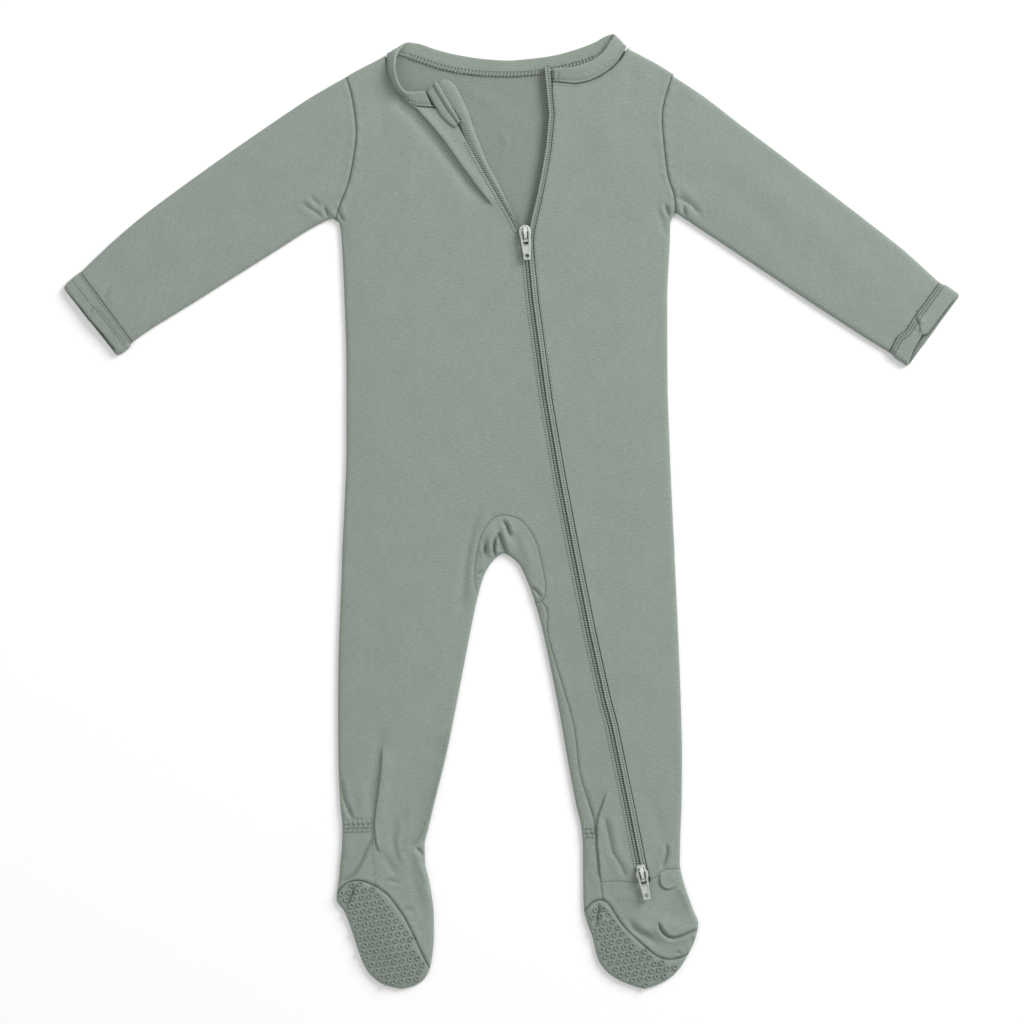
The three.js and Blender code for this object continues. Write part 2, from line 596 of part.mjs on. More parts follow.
function bodyPieces() {
  const whole = solidBetween(bodyGrids(0), faces(0)).subtract(solidBetween(bodyGrids(CLOTH), faces(CLOTH)));
  const cuts = [
    prism(frontOpening(), EDGE_HEIGHT - SEAM_GAP, HIGH),
    prism(backOpening(), LOW, EDGE_HEIGHT + SEAM_GAP),
    outsideArmhole(ARMHOLE_LEFT, -1),
    outsideArmhole(ARMHOLE_RIGHT, 1),
    ...SIDE_SEAMS.map(([x0, x1, y0, y1]) => (
      box(x0, x1, y0, y1, EDGE_HEIGHT - SEAM_GAP / 2, EDGE_HEIGHT + SEAM_GAP / 2))),
    ...[GUSSET_SEAM, INSEAM_RIGHT, HEEL_LEFT, SOLE_LEFT, SOLE_RIGHT, VAMP_SEAM].map(line => (
      seamCut(line, EDGE_HEIGHT, HIGH))),
    seamCut(SOLE_LEFT, LOW, EDGE_HEIGHT + 0.01),
    seamCut(SOLE_RIGHT, LOW, EDGE_HEIGHT + 0.01),
  ];
  return cuts.reduce((rest, cut) => rest.subtract(cut), whole).decompose();
}

// The piece whose box comes nearest to the one asked for, by the middle of its box
function pieceAt(pieces, x, y, z) {
  const distance = piece => {
    const { min, max } = piece.boundingBox();
    return Math.hypot((min[0] + max[0]) / 2 - x, (min[1] + max[1]) / 2 - y, (min[2] + max[2]) / 2 - z);
  };
  return pieces.reduce((best, piece) => (distance(piece) < distance(best) ? piece : best));
}

const pieces = bodyPieces();
const cutPiece = (x, y, z) => solidToGeometry(pieceAt(pieces, x, y, z).simplify(SIMPLIFY));

function addBody() {
  addMesh('back', cutPiece(4, 2, 2.4), SAGE_INSIDE);
  addMesh('front_left', cutPiece(-20, 0, 4), SAGE);
  addMesh('front_right', cutPiece(65, 30, 4), SAGE);
  addMesh('crotch_gusset', cutPiece(-1, -31, 3), SAGE);
  addMesh('vamp_right', cutPiece(90, -262, 3), SAGE);
  addMesh('sole_left', cutPiece(-83, -275, 3), SAGE);
  addMesh('sole_right', cutPiece(82, -281, 3), SAGE);
}

// Sections of a flat tube between its two folded edges, divided so that none is longer than a row's step
function tubeSections(rows) {
  const sections = [];
  rows.slice(1).forEach((row, i) => {
    const before = rows[i];
    for (const t of stepsBetween(0, 1, ROW_STEP / Math.hypot(row[0] - before[0], row[1] - before[1]))) {
      sections.push(before.map((value, k) => value + (row[k] - value) * t));
    }
  });
  sections.push(rows.at(-1));
  return sections.map(([x, y, u, v]) => [[x, y], [u, v]]);
}

// The tube carried on past its open ends, so that its hollow cuts through them
function carriedOn(sections, distance) {
  const beyond = (end, before) => end.map((point, k) => {
    const length = Math.hypot(point[0] - before[k][0], point[1] - before[k][1]);
    return point.map((value, axis) => value + (value - before[k][axis]) / length * distance);
  });
  return [beyond(sections[0], sections[1]), ...sections, beyond(sections.at(-1), sections.at(-2))];
}

function tube(rows, cloth, lift) {
  const sections = tubeSections(rows);
  const outer = solidBetween([sectionGrid(sections, 0, TUBE_COLUMNS)], faces(0, lift));
  const inner = sectionGrid(carriedOn(sections, TUBE_PAST), cloth, TUBE_COLUMNS);
  return outer.subtract(solidBetween([inner], faces(cloth, lift)));
}

function addSleeve(name, rows, armhole, direction) {
  const bodySide = armhole.map(([x, y]) => [x - direction * SEAM_GAP / 2, y]);
  const [top, bottom] = [armhole[0][1] + ARMHOLE_MARGIN, armhole.at(-1)[1] - ARMHOLE_MARGIN];
  const [first, last] = [bodySide[0][0], bodySide.at(-1)[0]];
  const cut = prism([[first, top], ...bodySide, [last, bottom], [0, bottom], [0, top]], LOW, HIGH);
  addMesh(name, solidToGeometry(tube(rows, CLOTH, 0).subtract(cut).simplify(SIMPLIFY)), SAGE);
}

function addCuff(name, rows, short) {
  const [[upperX, upperY, lowerX, lowerY], before] = [rows.at(-1), rows.at(-2)];
  const back = (x, y, px, py, distance) => {
    const length = Math.hypot(px - x, py - y);
    return [x + (px - x) / length * distance, y + (py - y) / length * distance];
  };
  const upper = back(upperX, upperY, before[0], before[1], short[0]);
  const lower = back(lowerX, lowerY, before[2], before[3], short[1]);
  const along = [upper[0] - lower[0], upper[1] - lower[1]];
  const [start, end] = [[lower[0] - along[0], lower[1] - along[1]], [upper[0] + along[0], upper[1] + along[1]]];
  const outward = Math.sign(upperX) * CUFF_PAST;
  const cut = prism([start, end, [end[0] + outward, end[1]], [start[0] + outward, start[1]]], EDGE_HEIGHT, HIGH);
  addMesh(name, solidToGeometry(tube(rows, CUFF_CLOTH, CUFF_LIFT).subtract(cut).simplify(SIMPLIFY)), SAGE);
}

// A closed solid through a row of sections, each a loop of points, with a flat cap at both ends
function loft(sections) {
  const triangles = [];
  sections.slice(1).forEach((section, i) => {
    const before = sections[i];
    section.forEach((point, k) => {
      const next = (k + 1) % section.length;
      triangles.push([before[k], before[next], section[next]], [before[k], section[next], point]);
    });
  });
  const cap = section => section.slice(2).map((point, k) => [section[0], section[k + 1], point]);
  triangles.push(...cap(sections[0]).map(([a, b, c]) => [a, c, b]), ...cap(sections.at(-1)));
  const solid = solidFromTriangles(triangles);
  return solid.volume() > 0 ? solid : solidFromTriangles(triangles.map(([a, b, c]) => [a, c, b]));
}

// Table rows with smooth rows added between them
function smoothRows(rows, extra) {
  const place = rows.map((_, i) => i);
  const curves = rows[0].map((_, k) => smoothThrough(place.map(i => [i, rows[i][k]])));
  const count = (rows.length - 1) * (extra + 1);
  return Array.from({ length: count + 1 }, (_, i) => curves.map(curve => curve(i / (extra + 1))));
}

function addNeckband() {
  const rows = smoothRows(NECKBAND, 1);
  const seam = rows.map(row => new THREE.Vector3(row[0], row[1], row[2]));
  const free = rows.map(row => new THREE.Vector3(row[3], row[4], row[5]));
  const middle = seam.map((point, i) => point.clone().lerp(free[i], 0.5));
  const sections = rows.map((_, i) => {
    const along = middle[Math.min(i + 1, rows.length - 1)].clone().sub(middle[Math.max(i - 1, 0)]);
    const across = free[i].clone().sub(seam[i]).normalize();
    const half = along.cross(across).normalize().multiplyScalar(BAND_CLOTH / 2);
    const rim = across.clone().multiplyScalar(BAND_CLOTH * BAND_RIM);
    return [
      seam[i].clone().sub(half), middle[i].clone().sub(half), free[i].clone().sub(half).sub(rim), free[i],
      free[i].clone().add(half).sub(rim), middle[i].clone().add(half), seam[i].clone().add(half),
    ].map(point => point.toArray());
  });
  addMesh('neckband', solidToGeometry(loft(sections)), SAGE);
}

const clothHeight = (x, y) => pileHeight(x, y, distanceToLines(x, y, SILHOUETTE));

// A flat strip between two edges, its faces at the given heights over the cloth's upper face
function strip(rows, heightsAt) {
  return loft(rows.map(([rightX, rightY, leftX, leftY]) => {
    const edge = (x, y) => heightsAt(x, y).map(z => [x, y, z]);
    const [rightLow, rightHigh] = edge(rightX, rightY);
    const [leftLow, leftHigh] = edge(leftX, leftY);
    return [rightLow, rightHigh, leftHigh, leftLow];
  }));
}

// Inner edge of one half of the zip, from its top end to its lower end
function zipEdge(open) {
  const points = [...open, ...ZIP_CLOSED, ZIP_END];
  const line = points.slice(1).flatMap((point, i) => {
    const [from, length] = [points[i], Math.hypot(point[0] - points[i][0], point[1] - points[i][1])];
    return stepsBetween(0, 1, STRIP_STEP / length).map(t => from.map((value, k) => value + (point[k] - value) * t));
  });
  return [...line, points.at(-1)];
}

// The halves part again under the lower slider
const zipSpread = y => ZIP_END_SPREAD * Math.max(0, 1 - (y - ZIP_END[1]) / ZIP_SPREAD_LENGTH);

function addZipHalf(side, open, direction, tapeWidth) {
  const edge = zipEdge(open);
  const between = (near, far) => {
    const outer = offsetLine(edge, -direction * far);
    return offsetLine(edge, -direction * near).map(([x, y], i) => [x + direction * zipSpread(y), y, ...outer[i]]);
  };
  const tape = strip(between(SEAM_GAP / 2, tapeWidth), (x, y) => {
    const z = clothHeight(x, y) - TAPE_DROP;
    return [z - TAPE_THICKNESS, z];
  });
  const coil = strip(between(SEAM_GAP / 2, SEAM_GAP / 2 + COIL_WIDTH), (x, y) => {
    const z = clothHeight(x, y) - TAPE_DROP + SEAM_GAP;
    return [z, z + COIL_HEIGHT];
  });
  addMesh(`zip_tape_${side}`, solidToGeometry(tape), TAPE_COLOUR);
  addMesh(`zip_coil_${side}`, solidToGeometry(coil), TAPE_COLOUR, 0.6);
}

function addGuardAndGarage() {
  const guard = strip(GUARD, () => [CLOTH + SEAM_GAP, CLOTH + SEAM_GAP + GUARD_THICKNESS]);
  addMesh('zip_guard', solidToGeometry(guard), SAGE);
  const coilTop = -TAPE_DROP + SEAM_GAP + COIL_HEIGHT;
  const coilLine = offsetLine(ZIP_LEFT_OPEN, COIL_WIDTH / 2);
  const sections = GARAGE.map(([rightX, rightY, leftX, leftY]) => {
    const points = Array.from({ length: GARAGE_COLUMNS + 1 }, (_, k) => [
      rightX + (leftX - rightX) * k / GARAGE_COLUMNS, rightY + (leftY - rightY) * k / GARAGE_COLUMNS]);
    const lower = points.map(([x, y]) => [
      x, y, clothHeight(x, y) + SEAM_GAP + coilTop * hump(distanceToLine(x, y, coilLine), GARAGE_REACH)]);
    return [...lower, ...lower.map(([x, y, z]) => [x, y, z + CLOTH]).reverse()];
  });
  addMesh('zip_garage', solidToGeometry(loft(sections)), SAGE);
}

function roundedPlate(width, tail, yFrom, yTo) {
  const shape = new THREE.Shape();
  const corner = width * PLATE_CORNER;
  shape.moveTo(-tail / 2, yFrom);
  shape.lineTo(tail / 2, yFrom);
  shape.lineTo(width / 2, yTo - corner);
  shape.quadraticCurveTo(width / 2, yTo, width / 2 - corner, yTo);
  shape.lineTo(corner - width / 2, yTo);
  shape.quadraticCurveTo(-width / 2, yTo, -width / 2, yTo - corner);
  return shape;
}

const extruded = (shape, depth) => new THREE.ExtrudeGeometry(shape, { depth, bevelEnabled: false, curveSegments: 4 });

// Slider round its pull's axis, wide at the end where the halves of the zip part
function sliderSolid(axisZ, clothZ, wideEnd) {
  const plate = depth => {
    const geometry = extruded(roundedPlate(PLATE_WIDTH, PLATE_WIDTH * PLATE_TAIL, PLATE_BOTTOM, PLATE_TOP), depth);
    if (wideEnd > 0) return geometry;
    return geometry.rotateZ(Math.PI).translate(0, PLATE_TOP + PLATE_BOTTOM, 0);
  };
  const upperZ = clothZ - TAPE_DROP + 2 * SEAM_GAP + COIL_HEIGHT;
  const lowerZ = clothZ - TAPE_DROP - TAPE_THICKNESS - SEAM_GAP - LOWER_PLATE;
  const upper = geometryToSolid(plate(UPPER_PLATE).translate(0, 0, upperZ - axisZ));
  const lower = geometryToSolid(plate(LOWER_PLATE).translate(0, 0, lowerZ - axisZ));
  const postY = wideEnd > 0 ? PLATE_TOP - POST_INSET : PLATE_BOTTOM + POST_INSET;
  const [postLow, postHigh] = [lowerZ + LOWER_PLATE / 2 - axisZ, upperZ + UPPER_PLATE / 2 - axisZ];
  const post = box(-POST_HALF, POST_HALF, postY - POST_HALF, postY + POST_HALF, postLow, postHigh);
  const arch = new THREE.Shape();
  const floor = -AXIS_LIFT - CROWN_SINK;
  const [near, far, roof] = [CROWN_NEAR, CROWN_FAR, CROWN_ROOM];
  arch.moveTo(far - CROWN_BAR, floor);
  arch.lineTo(far, floor);
  arch.lineTo(far, roof);
  arch.lineTo(near, roof);
  arch.lineTo(near, floor);
  arch.lineTo(near + CROWN_BAR, floor);
  arch.lineTo(near + CROWN_BAR, roof);
  arch.lineTo(near, roof + CROWN_BAR);
  arch.lineTo(far, roof + CROWN_BAR);
  arch.lineTo(far - CROWN_BAR, roof);
  const crown = extruded(arch, CROWN_WIDTH).rotateY(Math.PI / 2).rotateX(Math.PI / 2).translate(-CROWN_WIDTH / 2, 0, 0);
  return upper.add(lower).add(post).add(geometryToSolid(crown));
}

function pullGeometry() {
  const shape = new THREE.Shape();
  const corner = PULL_CORNER - PULL_LENGTH;
  shape.moveTo(-PULL_EYE, PULL_BAR / 2);
  shape.lineTo(-PULL_EYE, PULL_SHOULDER);
  shape.lineTo(-PULL_TIP, PULL_NECK);
  shape.lineTo(-PULL_TIP, corner);
  shape.quadraticCurveTo(-PULL_TIP, -PULL_LENGTH, 0, -PULL_LENGTH);
  shape.quadraticCurveTo(PULL_TIP, -PULL_LENGTH, PULL_TIP, corner);
  shape.lineTo(PULL_TIP, PULL_NECK);
  shape.lineTo(PULL_EYE, PULL_SHOULDER);
  shape.lineTo(PULL_EYE, PULL_BAR / 2);
  const window = new THREE.Path();
  window.moveTo(-WINDOW_HALF, -PULL_BAR / 2);
  window.lineTo(WINDOW_HALF, -PULL_BAR / 2);
  window.lineTo(WINDOW_HALF, PULL_SHOULDER);
  window.quadraticCurveTo(WINDOW_HALF, WINDOW_END, 0, WINDOW_END);
  window.quadraticCurveTo(-WINDOW_HALF, WINDOW_END, -WINDOW_HALF, PULL_SHOULDER);
  const hole = new THREE.Path();
  hole.absarc(0, PULL_HOLE_INSET - PULL_LENGTH, PULL_HOLE, 0, Math.PI * 2);
  shape.holes.push(window, hole);
  return extruded(shape, PULL_THICKNESS).translate(0, 0, -PULL_THICKNESS / 2);
}

function addSlider(name, [x, y], turn, wideEnd) {
  const clothZ = clothHeight(x, y);
  const axisZ = clothZ - TAPE_DROP + 2 * SEAM_GAP + COIL_HEIGHT + UPPER_PLATE + AXIS_LIFT;
  const place = new THREE.Group();
  place.position.set(x, y, axisZ);
  place.rotation.z = turn;
  group.add(place);
  addMesh(`slider_${name}`, solidToGeometry(sliderSolid(axisZ, clothZ, wideEnd)), ENAMEL, 0.4, 0.6, place);
  addMesh(`pull_${name}`, pullGeometry(), ENAMEL, 0.4, 0.6, place);
}

addBody();
addSleeve('sleeve_left', SLEEVE_LEFT, ARMHOLE_LEFT, -1);
addSleeve('sleeve_right', SLEEVE_RIGHT, ARMHOLE_RIGHT, 1);
addCuff('cuff_left', CUFF_LEFT, CUFF_SHORT_LEFT);
addCuff('cuff_right', CUFF_RIGHT, CUFF_SHORT_RIGHT);
addNeckband();
addZipHalf('left', ZIP_LEFT_OPEN, -1, FACE_LEFT - SEAM_GAP);
addZipHalf('right', ZIP_RIGHT_OPEN, 1, FACE_RIGHT - SEAM_GAP);
addGuardAndGarage();
addSlider('upper', UPPER_AXIS, UPPER_TURN, 1);
addSlider('lower', LOWER_AXIS, LOWER_TURN, -1);

export default group;
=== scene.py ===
import math

import bpy
import numpy as np
from mathutils import Matrix, Vector, noise
from mathutils.bvhtree import BVHTree
from mathutils.geometry import delaunay_2d_cdt


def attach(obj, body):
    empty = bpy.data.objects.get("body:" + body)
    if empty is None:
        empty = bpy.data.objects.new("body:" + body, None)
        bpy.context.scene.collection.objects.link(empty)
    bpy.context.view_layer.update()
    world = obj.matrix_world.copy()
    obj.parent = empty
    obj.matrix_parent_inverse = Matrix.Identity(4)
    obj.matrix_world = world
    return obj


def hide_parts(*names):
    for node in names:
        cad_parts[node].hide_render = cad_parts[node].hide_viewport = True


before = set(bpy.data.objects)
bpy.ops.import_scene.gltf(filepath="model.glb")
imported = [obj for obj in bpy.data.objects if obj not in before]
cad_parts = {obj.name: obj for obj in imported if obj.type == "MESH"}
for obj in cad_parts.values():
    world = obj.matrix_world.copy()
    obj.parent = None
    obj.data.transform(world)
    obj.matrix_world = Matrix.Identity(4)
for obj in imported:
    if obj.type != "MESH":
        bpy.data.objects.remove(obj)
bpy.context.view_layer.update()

mm = 0.001

# Plan of the laid garment in mm, seen from above, with the same lines as the solids.
# Body and legs: y, left leg outer side, inner side, right leg inner side, outer side
bodyTable = [
    (307.8, -62.4, None, None, 61.8), (295.4, -83.9, None, None, 87.3), (283.1, -106.8, None, None, 107.4),
    (270.1, -123.5, None, None, 120.9), (199.2, -123.5, None, None, 118.2), (194.0, -121.5, None, None, 106.3),
    (188.2, -111.9, None, None, 103.7), (176.5, -110.3, None, None, 103.4), (137.5, -108.4, None, None, 101.7),
    (90.7, -107.1, None, None, 101.8), (43.9, -107.1, None, None, 103.2), (-2.9, -108.7, None, None, 105.2),
    (-26.7, -109.9, -5.2, -5.2, 106.4), (-30.2, -110.0, -9.9, 0.7, 106.5), (-34.1, -110.1, -13.3, 4.9, 106.7),
    (-41.9, -110.3, -17.6, 9.1, 107.0), (-57.5, -110.9, -22.1, 15.0, 107.8), (-73.1, -111.6, -25.4, 19.5, 108.5),
    (-96.5, -112.3, -29.9, 24.7, 109.5), (-127.7, -112.6, -35.9, 30.9, 110.6), (-158.9, -112.4, -42.2, 36.4, 111.3),
    (-190.1, -111.2, -49.9, 42.2, 111.0), (-205.7, -109.8, -53.6, 45.7, 110.4), (-217.4, -110.1, -56.2, 46.7, 110.0),
    (-229.1, -111.2, -55.8, 46.8, 109.9), (-239.5, -112.1, -53.4, 46.9, 111.9), (-252.5, -113.6, -51.2, 47.1, 116.1),
    (-260.3, -108.5, -50.3, 47.7, 119.0), (-268.1, -105.3, -50.1, 49.7, 121.9), (-275.9, -102.7, -50.1, 52.6, 120.6),
    (-291.5, -97.3, -51.5, 56.7, 113.5), (-299.3, -93.3, -53.5, 62.1, 108.2), (-304.5, -88.4, -56.7, 69.4, 102.0),
    (-308.4, -81.7, -62.6, 78.3, 94.0), (-310.7, -71.6, -71.6, 86.5, 86.5),
]
crotch = (-5.2, -26.7)
underarmY = 188.2
toeY = -310.7
# Sleeves from inside the armhole to the cuff: upper edge x, y, lower edge x, y
sleeveLeft = [
    (-92.0, 290.5, -103.0, 197.0), (-107.2, 282.8, -117.0, 191.0), (-129.3, 270.1, -130.0, 184.3),
    (-152.8, 254.5, -148.5, 172.6), (-175.5, 238.9, -167.0, 160.9), (-197.6, 223.3, -185.5, 149.3),
    (-219.1, 207.7, -204.1, 137.5), (-239.8, 192.1, -220.5, 127.4), (-260.5, 174.4, -234.5, 118.7),
    (-279.8, 156.0, -246.0, 110.5),
]
sleeveRight = [
    (90.0, 293.0, 97.0, 197.0), (104.9, 283.7, 106.6, 194.7), (125.5, 270.1, 122.2, 184.3),
    (148.5, 252.3, 142.0, 171.2), (170.0, 236.2, 162.0, 157.9), (192.0, 219.4, 181.0, 145.2),
    (213.0, 203.3, 199.0, 133.3), (234.0, 187.1, 215.5, 122.6), (256.5, 169.3, 231.0, 112.6),
    (278.5, 149.2, 245.7, 103.7),
]
cuffLeft = [(-280.4, 155.7, -246.4, 109.9), (-286.2, 150.6, -251.8, 105.3), (-291.9, 145.4, -257.4, 101.7)]
cuffRight = [(279.1, 148.9, 246.2, 103.3), (285.3, 144.4, 252.4, 98.9), (291.9, 139.9, 258.9, 94.6)]
seams = {
    "armholeLeft": [(-112, 292), (-107.3, 282.6), (-103.0, 267.1), (-100.6, 247.3), (-102.6, 228.5),
                    (-106.0, 212.9), (-110.9, 199.9), (-113.8, 190.4), (-114, 184)],
    "armholeRight": [(109, 293), (104.9, 283.7), (100.1, 268.3), (98.2, 255.8), (99.6, 236.6), (102.2, 217.4),
                     (106.0, 205.7), (107.0, 194.8), (107.5, 186)],
    "gusset": [(-19.6, -60.5), (-23.7, -43.2), (-21.1, -21.8), (-15.6, -8.8), (-7.2, -2.6), (5.9, -5.5),
               (15.6, -18.5), (20.8, -38.0), (22.4, -51.0), (19.5, -58.8), (11.0, -59.6)],
    "inseamRight": [(17.8, -55.6), (20.4, -58.9), (23.9, -66.6), (24.7, -83.5), (40.2, -136.6), (44.9, -170.6), (54.2, -201.8),
                    (56.1, -220.7), (58.1, -239.5), (59.9, -255.0)],
    "heelLeft": [(-116.0, -169.0), (-110.9, -170.6), (-102.3, -200.5), (-91.0, -199.0), (-90.4, -210.3),
                 (-89.7, -226.5), (-87.8, -245.5)],
    "soleLeft": [(-117.0, -252.0), (-112.5, -247.6), (-107.9, -242.1), (-102.4, -240.1), (-96.9, -240.2),
                 (-88.4, -243.4), (-80.0, -249.3), (-73.5, -257.7), (-67.6, -266.8), (-60.5, -281.8),
                 (-55.9, -291.5), (-50.0, -302.0)],
    "soleRight": [(43.5, -264.5), (48.0, -259.7), (52.6, -254.3), (58.1, -252.5), (62.8, -254.3), (67.5, -261.4),
                  (72.9, -269.2), (82.3, -278.5), (93.2, -287.9), (99.5, -290.7), (105.7, -291.0),
                  (111.9, -289.1), (121.0, -284.0)],
    "vamp": [(57.0, -241.4), (68.2, -240.2), (79.2, -240.8), (91.7, -238.7), (96.2, -236.3), (99.5, -233.0),
             (115.0, -232.0)],
    "hemLeft": [(-282.6, 159.2), (-280.1, 155.9), (-246.2, 110.2), (-243.8, 107.0)],
    "hemRight": [(281.1, 152.2), (278.8, 149.1), (263.6, 128.2), (259.5, 122.1), (256.9, 117.6), (251.6, 114.3),
                 (248.2, 107.6), (246.0, 103.5), (243.7, 100.3)],
}
# Open edges: neck, the two sides of the zip, and the short upper ends of the cuffs
neckFrontLeft = [(-85.0, 300.0), (-81.9, 296.4), (-80.9, 287.0), (-77.9, 278.0), (-73.7, 271.4), (-67.9, 266.4),
                 (-61.3, 262.9), (-54.0, 262.3), (-43.6, 261.2)]
neckFrontRight = [(27.3, 278.9), (42.6, 277.6), (49.2, 278.9), (57.5, 282.2), (65.8, 287.9), (71.6, 293.8),
                  (76.0, 301.9), (77.5, 306.0)]
neckBack = [(-88.0, 296.5), (-84.5, 296.0), (-73.5, 296.0), (-64.6, 294.2), (-47.2, 288.2), (-34.7, 285.3),
            (-18.2, 283.4), (-1.6, 282.9), (9.4, 283.4), (19.5, 284.5), (37.7, 288.0), (45.9, 290.2), (56.0, 293.8),
            (66.0, 297.2), (76.0, 300.4), (80.0, 301.5), (84.0, 302.5)]
cuffEndLeft = [(-292.4, 148.6), (-289.6, 143.6), (-257.9, 103.6), (-255.6, 100.4)]
cuffEndRight = [(292.8, 142.2), (291.2, 140.1), (258.5, 95.2), (256.6, 92.6)]
zipClosed = [(10.4, 172.6), (13.7, 138.1), (22.7, 72.5), (31.2, 23.1), (40.6, -26.3), (50.4, -75.7), (60.8, -122.5),
             (65.4, -139.4), (77.1, -196.0), (84.0, -230.4)]
zipLeftOpen = [(-47.6, 277.9), (-39.2, 264.2), (-33.5, 258.1), (-26.6, 241.0), (-17.3, 224.1), (-6.6, 205.7),
               (1.2, 192.2), (5.2, 184.3), (9.3, 178.4)]
zipRightOpen = [(21.1, 288.8), (22.7, 273.5), (24.2, 258.1), (22.2, 236.7), (19.6, 221.3), (16.6, 206.0),
                (13.3, 192.2), (11.7, 184.3), (10.5, 178.4)]
zipEnd, zipSlitEnd = (86.0, -238.4), (86.7, -241.6)
faceLeft, faceRight = 2.3, 4.2  # cloth edge from the middle of the zip

cloth = {
    "thickness": 1.2, "edgeHeight": 1.8, "edgeRadius": 2.8,  # mm: one layer, and how a folded side turns
    "pileLow": 3.7, "pileRise": 1.5, "pileReach": 20.0,      # mm: upper layer over the surface
    "seamGap": 0.14, "seamDip": 0.55, "seamPuff": 0.3,       # mm: space, valley and puckered flanks at a seam
    "seamStrength": {"gusset": 0.35, "heelLeft": 0.1, "inseamRight": 0.5, "vamp": 0.3, "hemLeft": 0.8, "hemRight": 0.8},
    "creaseShade": 0.75, "drift": 0.3,                                            # creaseShade: strength of the painted shade in the creases; drift, mm: long uneven waves of the upper layer
    "soleLift": 0.55, "cuffDepth": 13.0, "roll": 0.9, "rollReach": 1.8,  # mm: underneath the dots, rolled cuff ends
    "fieldStep": 2.6, "fineStep": 1.5, "lineStep": 1.6,      # mm between points
}

